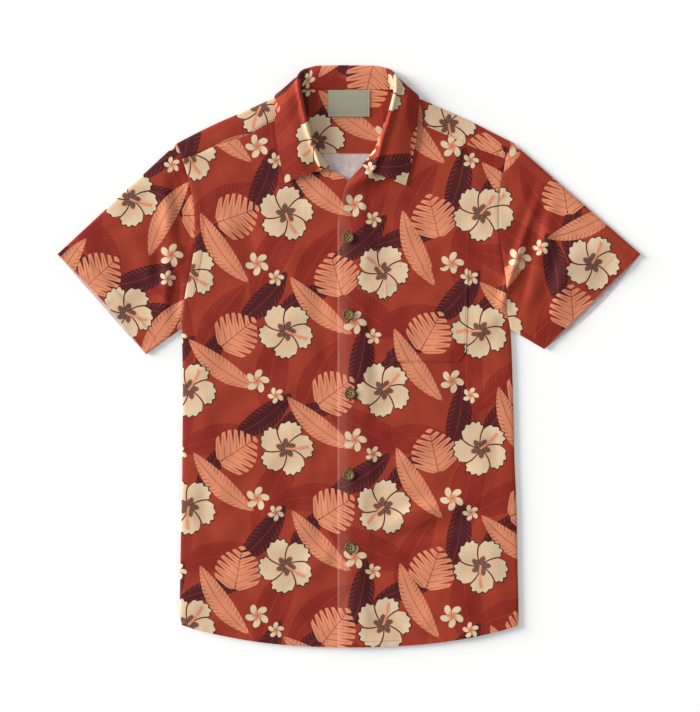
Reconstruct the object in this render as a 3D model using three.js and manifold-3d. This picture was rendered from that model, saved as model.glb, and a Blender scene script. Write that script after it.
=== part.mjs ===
// A short-sleeved hawaiian shirt lying flat on its back, buttoned but for the neck.
// Millimetres. X runs to the viewer's right, Y towards the collar, Z up off the table, z = 0 is the table.
// Left and right are the viewer's. Every piece of cloth is a real wall, bent round the side folds.

import * as THREE from 'three';
import { mergeVertices } from 'three/addons/utils/BufferGeometryUtils.js';
import Module from 'manifold-3d';

// Driving sizes

const CLOTH = 1.2;
const COLLAR_CLOTH = 1.5;
const POCKET_CLOTH = 1.0;
const LABEL_CLOTH = 0.8;
const SEAM_GAP = 0.3;
const HALF_LOFT = 2.2;
const FOLD_REACH = 6;
const OVERLAP_RISE = CLOTH + 0.4;
const OVERLAP_PAST_EDGE = 2;
const OVERLAP_EASE = 26;
const COLLAR_LIFT = { height: 2, from: 332, over: 20, centre: -3, half: 132 };

// Plan of the shirt as it lies, each curve from named points

const SIDE_LEFT = [[-233.2, -373.4], [-235.2, -366], [-235.2, -277], [-233.6, -200], [-232.4, -100],
  [-232.6, 0], [-233.8, 39.2]];
const SIDE_RIGHT = [[236, -374.5], [236.6, -367], [235.2, -285], [233.8, -210], [231, -143],
  [229.6, -75], [226.8, 11], [225.2, 38]];
const ARMHOLE_LEFT = [[-233.8, 39.2], [-231.4, 66], [-227.6, 94], [-221.2, 122], [-216.6, 150],
  [-215.6, 178], [-217.3, 215], [-222, 235], [-227.6, 259], [-234.4, 279], [-240.8, 296.8]];
const ARMHOLE_RIGHT = [[225.2, 38], [220.8, 62], [218.8, 109], [214.6, 135], [210.3, 165],
  [208.9, 194], [209.6, 220], [212.4, 240], [215.4, 256], [219.6, 280], [228.5, 298.2]];
const SHOULDER_LEFT = [[-240.8, 296.8], [-208.6, 313.6], [-180.6, 327], [-152.6, 339], [-124.6, 351.4],
  [-100, 361.4], [-74, 368]];
const SHOULDER_RIGHT = [[228.5, 298.2], [197.4, 313.6], [169.4, 328], [141.4, 340.4], [113.4, 352.8],
  [92, 361.2], [68, 368]];
const YOKE_SEAM_LEFT = [[-233.2, 275.8], [-213, 281.6], [-193.8, 290.8], [-176.7, 296.6], [-144.5, 308],
  [-108, 327.4], [-64.7, 338]];
const YOKE_SEAM_RIGHT = [[218.3, 276], [197.8, 283.2], [164.6, 295.6], [140, 307.2], [99.3, 324.4],
  [58.5, 338]];
const NECK_BACK = [[-74, 368], [-40, 371], [-3, 372], [34, 371], [68, 368]];
const NECKLINE_UNDER = [[-64.7, 338], [-53.6, 302.5], [-42.5, 284.5], [-34, 269], [-25.8, 260.4],
  [-11.5, 253.6], [-1.7, 244], [14, 231]];
const NECKLINE_OVER = [[58.5, 338], [46.5, 309], [35, 283.5], [15.4, 261.8], [-1.4, 243.9]];
const EDGE_UNDER = [[14, -406.8], [14, 0], [14, 231]];
const EDGE_OVER = [[-15.7, -406.3], [-15.7, 0], [-15.7, 150], [-15.2, 190], [-9.8, 218.4], [-6.6, 233],
  [-1.4, 243.9]];
const BACK_YOKE_SEAM_Y = 283.5;
const BACK_SEAM_BELOW_NECK = { left: -80, right: 74 };
const CUFF_TIPS_LEFT = { top: [-407.4, 142.1], under: [-284.2, 2.8], frontBulge: -4, backBulge: 0.6 };
const CUFF_TIPS_RIGHT = { top: [407.4, 142.1], under: [273, 9.8], frontBulge: 0, backBulge: 8 };
const HEM = { centre: 3, half: 236, lowest: -406.8, rise: 30.5, power: 2.4 };

// Grid steps. What lies close to a fold is stepped finely, the rest evenly.

const FOLD_STEPS = [0, 0.12, 0.42, 1].map((part) => part * FOLD_REACH);
const SIDE_ROWS = 8;
const ARMHOLE_ROWS = 8;
const FRONT_COLUMNS = 12;
const NECK_COLUMN = 8;
const BACK_NECK_PARTS = [0.045, 0.2, 0.4, 0.6, 0.8, 0.955];
const SLEEVE_ROWS = 7;
const ARMPIT_EASE = { part: 0.035, reach: 3 };
const YOKE_FRONT_STEPS = 1;
const YOKE_BACK_STEPS = 3;
const YOKE_COLUMNS = FOLD_STEPS.length - 1 + NECK_COLUMN;
const EDGE_SAMPLES = 40;
const FOLD_SAMPLES = 12;
const ON_EDGE = 0.05;

// Large folds of the upper cloth: a ridge or a trough along a curved line, in mm.
// bend moves the middle of the line sideways, width is the half width of the fold.
// A fold fades out over its ends, towards a closed edge and towards the stiffer placket.

const FOLDS = [
  { from: [-246, 262], to: [-225, 132], bend: 6, height: -2.6, width: 11 },
  { from: [-300, 215], to: [-262, 70], bend: -8, height: 1.6, width: 16 },
  { from: [262, 262], to: [221, 92], bend: 10, height: -3.2, width: 12 },
  { from: [282, 235], to: [243, 60], bend: 8, height: 2.2, width: 12 },
  { from: [300, 190], to: [262, 42], bend: 4, height: -1.8, width: 11 },
  { from: [-143, 205], to: [-139, 100], bend: 3, height: -1.5, width: 12 },
  { from: [62, 232], to: [58, 130], bend: -4, height: -1.4, width: 14 },
  { from: [-125, 0], to: [-68, 62], bend: 5, height: 1.8, width: 14 },
  { from: [-154, -98], to: [-68, -42], bend: 6, height: 1.6, width: 14 },
  { from: [30, -250], to: [184, -202], bend: 8, height: 2.6, width: 13 },
  { from: [34, -274], to: [176, -236], bend: 8, height: -2, width: 12 },
  { from: [-70, -322], to: [-12, -272], bend: 5, height: 1.5, width: 12 },
  { from: [-210, -345], to: [-98, -392], bend: -6, height: -1.6, width: 14 },
  { from: [126, -342], to: [186, -372], bend: 4, height: 1.6, width: 12 },
];
const FOLD_ENDS = { lowest: 0.08, highest: 0.92 };
const FOLD_EDGE_FADE = { from: 2, over: 26 };
const PLACKET = { centre: -1, half: 18, ease: 12 };
const NO_FOLD_PAST = 2.6;
const LAPEL_RIDGE = [[31, 253.5], [21.8, 247.5], [8, 241.5], [-3, 236], [-9, 218], [-15, 186]];
const LAPEL_HEIGHT = 4;
const LAPEL_WIDTH = 8;
const LAPEL_TAPER = 70;
const NO_LAPEL_PAST = 3;

// The collar, one row for each station from the back of the neck to the point of a leaf.
// seam is where it is sewn on, roll its highest line, bend a place half way down the fall and edge
// its free edge. tilt is how far the roll has turned up, from 0 lying flat to 90 standing.

const COLLAR_LEFT = [
  { seam: [-30, 373], roll: [-30, 405.6, 3.7], tilt: 0, bend: [-31, 385, 0.75], edge: [-33, 361, 0.75] },
  { seam: [-54, 372.4], roll: [-50, 404.6, 4], tilt: 6, bend: [-55, 385, 0.75], edge: [-62, 360.5, 0.75] },
  { seam: [-68, 371.6], roll: [-64, 399.6, 6], tilt: 25, bend: [-76, 386, 1.3], edge: [-86, 360, 0.75] },
  { seam: [-72.4, 367.4], roll: [-71.4, 390, 11], tilt: 55, bend: [-91, 374, 5.6], edge: [-103.4, 366, 2.4] },
  { seam: [-71.8, 361], roll: [-71.6, 376, 17], tilt: 84, bend: [-90, 364, 13.4], edge: [-107.6, 356, 9.4] },
  { seam: [-67, 347.6], roll: [-67.6, 357, 20], tilt: 90, bend: [-86, 350, 16], edge: [-104.6, 342, 9.6] },
  { seam: [-58.4, 321], roll: [-60.2, 323, 19], tilt: 90, bend: [-80, 320, 14.4], edge: [-103.4, 316, 8.6] },
  { seam: [-49.6, 298], roll: [-52.6, 299, 17], tilt: 90, bend: [-73, 293, 13], edge: [-98.8, 288, 8] },
  { seam: [-38, 278.4], roll: [-45.4, 279, 14.6], tilt: 88, bend: [-67.6, 270, 11.6],
    edge: [-93.8, 263, 7.8] },
  { seam: [-27.4, 264.4], roll: [-38.6, 259.6, 11.6], tilt: 86, bend: [-62, 252.6, 10],
    edge: [-89, 241.5, 7.4] },
];
const COLLAR_RIGHT = [
  { seam: [24, 373], roll: [24, 405.6, 3.7], tilt: 0, bend: [25, 385, 0.75], edge: [27, 361, 0.75] },
  { seam: [48, 372.4], roll: [44, 404.6, 4], tilt: 6, bend: [49, 385, 0.75], edge: [56, 360.5, 0.75] },
  { seam: [62, 371.6], roll: [58, 399.6, 6], tilt: 25, bend: [70, 386, 1.3], edge: [80, 360, 0.75] },
  { seam: [66.4, 367.4], roll: [65.4, 390, 11], tilt: 55, bend: [85, 374, 5.6], edge: [97.4, 366, 2.4] },
  { seam: [65.8, 361], roll: [66.6, 374, 17], tilt: 84, bend: [84, 364, 13.4], edge: [101.6, 356, 9.4] },
  { seam: [59.4, 344.6], roll: [61.8, 350, 20], tilt: 90, bend: [79, 345, 16], edge: [98, 338, 9.6] },
  { seam: [48.4, 317], roll: [54, 322, 19], tilt: 90, bend: [72.4, 316, 14.4], edge: [95, 310, 8.6] },
  { seam: [38, 293.6], roll: [46, 298, 17.4], tilt: 90, bend: [64.6, 291, 13.4], edge: [90, 284, 8] },
  { seam: [28.6, 278], roll: [41, 279, 15.6], tilt: 88, bend: [60, 271, 12.4], edge: [85.2, 262, 8] },
  { seam: [18, 266.6], roll: [31.4, 256.4, 14.4], tilt: 86, bend: [54, 247.6, 11.4], edge: [79.1, 238, 7.4] },
];
const COLLAR_STEPS_BETWEEN = 2;
const COLLAR_SAMPLES = [0, 0.1, 0.2, 0.26, 0.33, 0.4, 0.47, 0.54, 0.6, 0.7, 0.8, 0.9, 1];
const ROLL_DEPTH = { flat: 5.5, standing: 3.2 };
const ROLL_HALF_WIDTH = { flat: 2.7, standing: 3.4 };
const STANDS_FULLY_AT = 60;
const SEAM_STAND = { flat: CLOTH * 0.6, standing: 1.4 };
const FREE_EDGE_CLEAR = 1.9;

// Small pieces

const POCKET = { left: 50.4, right: 165.9, top: 123.4, bottom: -8.4, cutAcross: 10, cutUp: 15,
  cutBow: 2, lean: 2.5 };
const LABEL = { left: -29.4, right: 28.6, top: 371.4, bottom: 334.6 };
const INNER_YOKE = [[-65, BACK_YOKE_SEAM_Y + 0.3], [59, BACK_YOKE_SEAM_Y + 0.3], [59, 368.6], [28, 371],
  [-3, 371.8], [-34, 371], [-65, 368.6]];
const BUTTON_CENTRES = [[-1.2, 165.3], [-0.7, 57.5], [1.5, -52.5], [-0.1, -165.9], [2, -267.4]];
const BUTTON = { radius: 8, thick: 2.6, rimWidth: 2, rimHeight: 0.6, round: 0.8, rimSlope: 0.45,
  holeRadius: 0.95, holeOffset: 1.75, turn: 12, sides: 18, holeSides: 6 };
const CUTTER_HEIGHT = 60;

// Colours

const FINISHES = {
  print: { color: 0x9c3a2c, roughness: 0.78, metalness: 0 },
  collar: { color: 0xa8452f, roughness: 0.76, metalness: 0 },
  pocket: { color: 0xb0503a, roughness: 0.78, metalness: 0 },
  label: { color: 0x9f9a85, roughness: 0.7, metalness: 0 },
  button: { color: 0x857043, roughness: 0.42, metalness: 0 },
};

// Plain helpers

const lerp = (from, to, part) => from + (to - from) * part;
const lerpPoint = (from, to, part) => from.map((value, axis) => lerp(value, to[axis], part));
const smooth = (part) => {
  const held = Math.min(1, Math.max(0, part));
  return held * held * (3 - 2 * held);
};
const range = (count) => Array.from({ length: count }, (_, index) => index);

// A smooth curve through plan points, asked by the distance along it

class PlanCurve {
  constructor(points) {
    const corners = points.map(([x, y]) => new THREE.Vector3(x, y, 0));
    this.curve = new THREE.CatmullRomCurve3(corners, false, 'centripetal');
    this.curve.arcLengthDivisions = 400;
    this.length = this.curve.getLength();
  }

  at(part) {
    const point = this.curve.getPointAt(Math.min(1, Math.max(0, part)));
    return [point.x, point.y];
  }

  atHeight(y) {
    let low = 0;
    let high = 1;
    for (const _ of range(40)) {
      const middle = (low + high) / 2;
      if (this.at(middle)[1] < y) low = middle;
      else high = middle;
    }
    return low * this.length;
  }
}

const curves = {
  left: {
    side: new PlanCurve(SIDE_LEFT),
    armhole: new PlanCurve(ARMHOLE_LEFT),
    shoulder: new PlanCurve(SHOULDER_LEFT),
    yokeSeam: new PlanCurve(YOKE_SEAM_LEFT),
    neckline: new PlanCurve(NECKLINE_UNDER),
    edge: new PlanCurve(EDGE_UNDER),
    cuff: CUFF_TIPS_LEFT,
  },
  right: {
    side: new PlanCurve(SIDE_RIGHT),
    armhole: new PlanCurve(ARMHOLE_RIGHT),
    shoulder: new PlanCurve(SHOULDER_RIGHT),
    yokeSeam: new PlanCurve(YOKE_SEAM_RIGHT),
    neckline: new PlanCurve(NECKLINE_OVER),
    edge: new PlanCurve(EDGE_OVER),
    cuff: CUFF_TIPS_RIGHT,
  },
};
const neckBack = new PlanCurve(NECK_BACK);

// How far a plan point lies from the nearest closed edge: side seam, sleeve edges or shoulder fold

const closedEdges = Object.values(curves).flatMap(({ side, shoulder, armhole, cuff }) => {
  const sampled = (curve) => range(EDGE_SAMPLES + 1).map((step) => curve.at(step / EDGE_SAMPLES));
  return [sampled(side), sampled(shoulder), [armhole.at(1), cuff.top], [armhole.at(0), cuff.under]];
});

function distanceToSegment([x, y], [fromX, fromY], [toX, toY]) {
  const alongX = toX - fromX;
  const alongY = toY - fromY;
  const part = ((x - fromX) * alongX + (y - fromY) * alongY) / (alongX * alongX + alongY * alongY || 1);
  const held = Math.min(1, Math.max(0, part));
  return Math.hypot(x - fromX - alongX * held, y - fromY - alongY * held);
}

function distanceToLine(point, line) {
  return Math.min(...line.slice(1).map((end, index) => distanceToSegment(point, line[index], end)));
}

const distanceToEdge = (point) => Math.min(...closedEdges.map((line) => distanceToLine(point, line)));

// Heights of the middle of the cloth, for the lower and the upper layer

function fullness(distance) {
  const short = 1 - Math.min(distance, FOLD_REACH) / FOLD_REACH;
  return Math.sqrt(Math.max(0, 1 - short * short));
}

// The cloth round the neck lies on the back of the collar, so all of it is lifted there
function collarLift([x, y]) {
  const { height, from, over, centre, half } = COLLAR_LIFT;
  return height * smooth((y - from) / over) * smooth((half - Math.abs(x - centre)) / over);
}

function curvedLine({ from, to, bend }) {
  const along = new THREE.Vector2(to[0] - from[0], to[1] - from[1]).normalize();
  const middle = [(from[0] + to[0]) / 2 - along.y * bend, (from[1] + to[1]) / 2 + along.x * bend];
  const curve = new PlanCurve([from, middle, to]);
  return range(FOLD_SAMPLES + 1).map((step) => curve.at(step / FOLD_SAMPLES));
}

const foldLines = FOLDS.map((fold) => ({ ...fold, line: curvedLine(fold) }));

function alongLine(point, line) {
  const reach = line.map(([x, y]) => Math.hypot(x - point[0], y - point[1]));
  return reach.indexOf(Math.min(...reach)) / (line.length - 1);
}

function foldHeight(point) {
  const fade = smooth((distanceToEdge(point) - FOLD_EDGE_FADE.from) / FOLD_EDGE_FADE.over);
  const fromPlacket = Math.abs(point[0] - PLACKET.centre) - PLACKET.half;
  const soft = fade * smooth(fromPlacket / PLACKET.ease);
  return foldLines.reduce((sum, { line, height, width }) => {
    const across = distanceToLine(point, line) / width;
    if (across > NO_FOLD_PAST) return sum;
    const along = Math.min(FOLD_ENDS.highest, Math.max(FOLD_ENDS.lowest, alongLine(point, line)));
    return sum + height * Math.sin(Math.PI * along) * Math.exp(-across * across) * soft;
  }, 0);
}

const lapelCurve = new PlanCurve(LAPEL_RIDGE);
const lapelLine = range(FOLD_SAMPLES + 1).map((step) => lapelCurve.at(step / FOLD_SAMPLES));

function lapelHeight(point) {
  const across = distanceToLine(point, lapelLine) / LAPEL_WIDTH;
  const taper = smooth((point[1] - (LAPEL_RIDGE[0][1] - LAPEL_TAPER)) / LAPEL_TAPER);
  return across > NO_LAPEL_PAST ? 0 : LAPEL_HEIGHT * taper * Math.exp(-across * across);
}

function lowerHeight(point) {
  return CLOTH / 2 + HALF_LOFT * (1 - fullness(distanceToEdge(point))) + collarLift(point);
}

function upperHeight(point) {
  const loft = HALF_LOFT * (1 + fullness(distanceToEdge(point)));
  return CLOTH / 2 + loft + collarLift(point) + foldHeight(point);
}

function overHeight(point) {
  const pastUnder = point[0] - EDGE_UNDER[0][0] - OVERLAP_PAST_EDGE;
  const rise = OVERLAP_RISE * (1 - smooth(pastUnder / OVERLAP_EASE));
  return upperHeight(point) + rise + lapelHeight(point);
}

// A cloth surface: points in the middle of the wall and four-sided cells between them

class Surface {
  constructor() {
    this.points = [];
    this.cells = [];
  }

  addGrid(rows, height) {
    const known = new Map(this.points.map(([x, y, z, side], index) => [pointKey(x, y, side), index]));
    const place = ([x, y]) => {
      const key = pointKey(x, y, height.side(x, y));
      if (!known.has(key)) {
        known.set(key, this.points.length);
        this.points.push([x, y, height.z([x, y]), height.side(x, y)]);
      }
      return known.get(key);
    };
    const turnsLeft = planArea(rows) > 0;
    this.addCells(rows.map((row) => row.map(place)), turnsLeft === (height.facing === 'up'));
  }

  addCells(placed, inOrder) {
    for (const row of range(placed.length - 1)) {
      for (const column of range(placed[row].length - 1)) {
        const [a, b] = placed[row].slice(column, column + 2);
        const [d, c] = placed[row + 1].slice(column, column + 2);
        this.cells.push(inOrder ? [a, b, c, d] : [d, c, b, a]);
      }
    }
  }
}

function planArea(rows) {
  const lastRow = rows[rows.length - 1];
  const [a, b, c, d] = [rows[0][0], rows[0][rows[0].length - 1], lastRow[lastRow.length - 1], lastRow[0]];
  return (c[0] - a[0]) * (d[1] - b[1]) - (c[1] - a[1]) * (d[0] - b[0]);
}

const pointKey = (x, y, side) => `${x.toFixed(3)} ${y.toFixed(3)} ${side}`;

// Turns a surface into a closed wall between two offsets from its middle.
// Its open edges are drawn in by half of the seam gap, and stand square on a side fold.

function wall(surface, below = -CLOTH / 2, above = CLOTH / 2, drawIn = SEAM_GAP / 2) {
  const points = surface.points.map(([x, y, z]) => new THREE.Vector3(x, y, z));
  const normals = points.map(() => new THREE.Vector3());
  const triangles = surface.cells.flatMap(([a, b, c, d]) => [[a, b, c], [a, c, d]]);
  const open = new Map();
  for (const [a, b, c] of triangles) {
    const normal = points[b].clone().sub(points[a]).cross(points[c].clone().sub(points[a]));
    for (const corner of [a, b, c]) normals[corner].add(normal);
    for (const [from, to] of [[a, b], [b, c], [c, a]]) {
      if (open.has(`${to} ${from}`)) open.delete(`${to} ${from}`);
      else open.set(`${from} ${to}`, [from, to]);
    }
  }
  normals.forEach((normal) => normal.normalize());
  for (const corner of [...open.values()].flat()) {
    const { x, y } = points[corner];
    if (distanceToEdge([x, y]) < ON_EDGE) normals[corner].setZ(0).normalize();
  }

  const outward = new Map();
  for (const [from, to] of open.values()) {
    const along = points[to].clone().sub(points[from]);
    for (const corner of [from, to]) {
      const away = along.clone().cross(normals[corner]).normalize();
      outward.set(corner, [...(outward.get(corner) ?? []), away]);
    }
  }
  const settled = points.map((point, index) => {
    const away = outward.get(index);
    if (!away) return point;
    const meeting = Math.max(0.5, 1 + away[0].dot(away[1]));
    return point.clone().addScaledVector(away[0].clone().add(away[1]), -drawIn / meeting);
  });

  const count = points.length;
  const vertices = [below, above].flatMap((offset) =>
    settled.map((point, index) => point.clone().addScaledVector(normals[index], offset)));
  const faces = [
    ...triangles.map(([a, b, c]) => [a, c, b]),
    ...triangles.map((corners) => corners.map((corner) => corner + count)),
    ...[...open.values()].flatMap(([a, b]) => [[a, b, b + count], [a, b + count, a + count]]),
  ];
  return closedGeometry(vertices, faces);
}

function closedGeometry(vertices, faces) {
  const geometry = new THREE.BufferGeometry();
  const numbers = vertices.flatMap(({ x, y, z }) => [x, y, z]);
  geometry.setAttribute('position', new THREE.Float32BufferAttribute(numbers, 3));
  geometry.setIndex(faces.flat());
  return geometry;
}

// Stations on an armhole, as distances from the underarm

function armholeStations(side, seamDistance, between) {
  const { armhole } = curves[side];
  const lowest = FOLD_STEPS[FOLD_STEPS.length - 1];
  const even = range(ARMHOLE_ROWS).map((step) => lerp(lowest, seamDistance, (step + 1) / ARMHOLE_ROWS));
  const top = armhole.length - FOLD_REACH;
  const gap = range(between).map((step) => lerp(seamDistance, top, (step + 1) / (between + 1)));
  const fold = [...FOLD_STEPS].reverse().map((step) => armhole.length - step);
  const body = [...FOLD_STEPS, ...even];
  return { body, strip: [seamDistance, ...gap, ...fold], all: [...body, ...gap, ...fold] };
}

const stations = Object.fromEntries(['left', 'right'].map((side) => {
  const { armhole, yokeSeam } = curves[side];
  return [side, {
    upper: armholeStations(side, armhole.atHeight(yokeSeam.at(0)[1]), YOKE_FRONT_STEPS),
    lower: armholeStations(side, armhole.atHeight(BACK_YOKE_SEAM_Y), YOKE_BACK_STEPS),
  }];
}));

const armholePoint = (side, distance) => curves[side].armhole.at(distance / curves[side].armhole.length);
const sideRows = (side) => range(SIDE_ROWS).map((step) => curves[side].side.at(step / SIDE_ROWS));

function hemPoint(x) {
  const out = Math.abs((x - HEM.centre) / HEM.half);
  return [x, HEM.lowest + HEM.rise * out ** HEM.power];
}

// Columns of a front, from the side to its own edge, as parts of a row

const frontWidth = (side) => Math.abs(curves[side].edge.at(0)[0] - curves[side].side.at(0)[0]);

function frontColumns(width) {
  const fine = FOLD_STEPS.slice(0, -1).map((step) => step / width);
  const even = range(FRONT_COLUMNS + 1).map((step) => lerp(FOLD_REACH / width, 1, step / FRONT_COLUMNS));
  return [...fine, ...even];
}

// A patch filled between four sides: rows of points from the bottom side to the top side

function fillPatch(startSide, endSide, bottom, top) {
  const last = startSide.length - 1;
  const columns = bottom.length - 1;
  const heights = startSide.map(([, y]) => (y - startSide[0][1]) / (startSide[last][1] - startSide[0][1]));
  const widths = columnParts(bottom);
  return startSide.map((start, row) => bottom.map((low, column) => {
    if (row === 0) return low;
    if (row === last) return top[column];
    if (column === 0) return start;
    if (column === columns) return endSide[row];
    const up = heights[row];
    const width = widths[column];
    const upward = lerpPoint(low, top[column], up);
    const sideways = lerpPoint(start, endSide[row], width);
    const corners = lerpPoint(lerpPoint(bottom[0], bottom[columns], width),
      lerpPoint(top[0], top[columns], width), up);
    return [0, 1].map((axis) => upward[axis] + sideways[axis] - corners[axis]);
  }));
}

function columnParts(row) {
  const steps = row.slice(1).map(([x, y], index) => Math.hypot(x - row[index][0], y - row[index][1]));
  const whole = steps.reduce((sum, step) => sum + step, 0);
  let reached = 0;
  return [0, ...steps.map((step) => (reached += step) / whole)];
}

function frontSurface(side, height) {
  const { yokeSeam, neckline, edge } = curves[side];
  const armhole = stations[side].upper.body.map((distance) => armholePoint(side, distance));
  const start = [...sideRows(side), ...armhole];
  const parts = frontColumns(frontWidth(side));
  const hem = parts.slice(1).map((part) => hemPoint(lerp(start[0][0], edge.at(0)[0], part)));
  const bottom = [start[0], ...hem];
  const neck = parts[YOKE_COLUMNS];
  const top = parts.map((part) => {
    const pastYoke = (part - neck) / (1 - neck);
    return part <= neck ? yokeSeam.at(part / neck) : neckline.at(pastYoke);
  });
  const rise = (y) => (y - start[0][1]) / (start[start.length - 1][1] - start[0][1]);
  const end = start.map(([, y]) => edge.at(rise(y)));
  start[start.length - 1] = top[0];
  end[0] = bottom[bottom.length - 1];
  end[end.length - 1] = top[top.length - 1];
  const rows = fillPatch(start, end, bottom, top);
  const surface = new Surface();
  surface.addGrid(rows, { z: height, side: () => 'upper', facing: 'up' });
  return { surface, seam: top.slice(0, YOKE_COLUMNS + 1) };
}

// The back and both sides of the yoke share the points of the seams between them

function yokeParts(side) {
  const parts = frontColumns(frontWidth(side)).slice(0, YOKE_COLUMNS + 1);
  return parts.map((part) => part / parts[YOKE_COLUMNS]);
}

function backYokeSeam() {
  const half = (side) => yokeParts(side).map((part) => {
    const outer = armholePoint(side, curves[side].armhole.atHeight(BACK_YOKE_SEAM_Y));
    return [lerp(outer[0], BACK_SEAM_BELOW_NECK[side], part), BACK_YOKE_SEAM_Y];
  });
  const middle = BACK_NECK_PARTS.map((part) =>
    [lerp(BACK_SEAM_BELOW_NECK.left, BACK_SEAM_BELOW_NECK.right, part), BACK_YOKE_SEAM_Y]);
  return [...half('left'), ...middle, ...half('right').reverse()];
}

function backSurface() {
  const rowsOf = (side) => [...sideRows(side),
    ...stations[side].lower.body.map((distance) => armholePoint(side, distance))];
  const start = rowsOf('left');
  const end = rowsOf('right');
  const top = backYokeSeam();
  const parts = top.map(([x]) => (x - top[0][0]) / (top[top.length - 1][0] - top[0][0]));
  const bottom = parts.map((part, column) => {
    if (column === 0) return start[0];
    return column === parts.length - 1 ? end[0] : hemPoint(lerp(start[0][0], end[0][0], part));
  });
  const surface = new Surface();
  surface.addGrid(fillPatch(start, end, bottom, top), { z: lowerHeight, side: () => 'lower', facing: 'up' });
  return surface;
}

// Rows that run up to a fold, evenly at first and finely close to it

function rowsToFold(from, to, between) {
  const length = Math.hypot(to[0] - from[0], to[1] - from[1]);
  const even = range(between).map((step) => lerp(0, length - FOLD_REACH, (step + 1) / (between + 1)));
  const distances = [0, ...even, ...[...FOLD_STEPS].reverse().map((step) => length - step)];
  return distances.map((distance) => lerpPoint(from, to, distance / length));
}

function yokeBackColumns() {
  const seam = backYokeSeam();
  const tops = seam.map((_, column) => {
    const fromRight = seam.length - 1 - column;
    if (column <= YOKE_COLUMNS) return curves.left.shoulder.at(yokeParts('left')[column]);
    if (fromRight <= YOKE_COLUMNS) return curves.right.shoulder.at(yokeParts('right')[fromRight]);
    return neckBack.at(BACK_NECK_PARTS[column - YOKE_COLUMNS - 1]);
  });
  const columns = seam.map((low, column) => rowsToFold(low, tops[column], YOKE_BACK_STEPS));
  columns[0] = stations.left.lower.strip.map((distance) => armholePoint('left', distance));
  columns[columns.length - 1] = stations.right.lower.strip.map((distance) => armholePoint('right', distance));
  return columns;
}

function yokeInside() {
  const surface = new Surface();
  surface.addGrid(yokeBackColumns(), { z: lowerHeight, side: () => 'lower', facing: 'up' });
  return surface;
}

function yokeSurface(frontSeams) {
  const columns = yokeBackColumns();
  const foldPoints = new Set(columns.map((column) => pointKey(...column[column.length - 1], 'fold')));
  const side = (x, y) => (foldPoints.has(pointKey(x, y, 'fold')) ? 'fold' : 'lower');
  const surface = new Surface();
  surface.addGrid(columns, { z: lowerHeight, side, facing: 'down' });

  for (const half of ['left', 'right']) {
    const parts = yokeParts(half);
    const strips = frontSeams[half].map((low, column) => {
      if (column === 0) return stations[half].upper.strip.map((distance) => armholePoint(half, distance));
      return rowsToFold(low, curves[half].shoulder.at(parts[column]), YOKE_FRONT_STEPS);
    });
    const upperSide = (x, y) => (side(x, y) === 'fold' ? 'fold' : 'upper');
    const z = (point) => (upperSide(...point) === 'fold' ? lowerHeight(point) : upperHeight(point));
    surface.addGrid(strips, { z, side: upperSide, facing: 'up' });
  }
  return surface;
}

// A sleeve is one flat tube, closed by a seam under the arm and folded along its top

function sleeveSurface(side) {
  const { armhole, cuff } = curves[side];
  const axis = new THREE.Vector2(cuff.top[0] - cuff.under[0], cuff.top[1] - cuff.under[1]);
  const width = axis.length();
  const away = new THREE.Vector2(axis.y, -axis.x).normalize();
  if (away.x * cuff.top[0] < 0) away.negate();
  const cuffPoint = (distance, bulge) => {
    const end = armhole.length - distance;
    const even = (distance - FOLD_REACH) / (armhole.length - 2 * FOLD_REACH);
    const near = distance < FOLD_REACH ? distance : lerp(FOLD_REACH, width - FOLD_REACH, even);
    const part = (end < FOLD_REACH ? width - end : near) / width;
    const bulged = bulge * 4 * part * (1 - part);
    return [lerp(cuff.under[0], cuff.top[0], part) + away.x * bulged,
      lerp(cuff.under[1], cuff.top[1], part) + away.y * bulged];
  };
  const layer = (distances, bulge) => range(SLEEVE_ROWS + 1).map((row) => distances.map((distance) => {
    const ease = ARMPIT_EASE.part * Math.max(0, 1 - distance / ARMPIT_EASE.reach);
    const part = Math.max(ease, row / SLEEVE_ROWS);
    return lerpPoint(armholePoint(side, distance), cuffPoint(distance, bulge), part);
  }));
  const upper = stations[side].upper.all;
  const lower = stations[side].lower.all;
  const surface = new Surface();
  const folds = new Set(layer([0, armhole.length], 0).flat().map(([x, y]) => pointKey(x, y, 'fold')));
  const nameOf = (name) => (x, y) => (folds.has(pointKey(x, y, 'fold')) ? 'fold' : name);
  const upperSide = nameOf('upper');
  const upperZ = (point) => (upperSide(...point) === 'fold' ? lowerHeight(point) : upperHeight(point));
  surface.addGrid(layer(lower, cuff.backBulge), { z: lowerHeight, side: nameOf('lower'), facing: 'down' });
  surface.addGrid(layer(upper, cuff.frontBulge), { z: upperZ, side: upperSide, facing: 'up' });
  return surface;
}

// The collar: a section at each station, from the neck seam over the roll to the free edge

function rollOutward(rows, index) {
  const before = rows[Math.max(0, index - 1)].roll;
  const after = rows[Math.min(rows.length - 1, index + 1)].roll;
  return new THREE.Vector3(before[1] - after[1], after[0] - before[0], 0).normalize();
}

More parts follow.
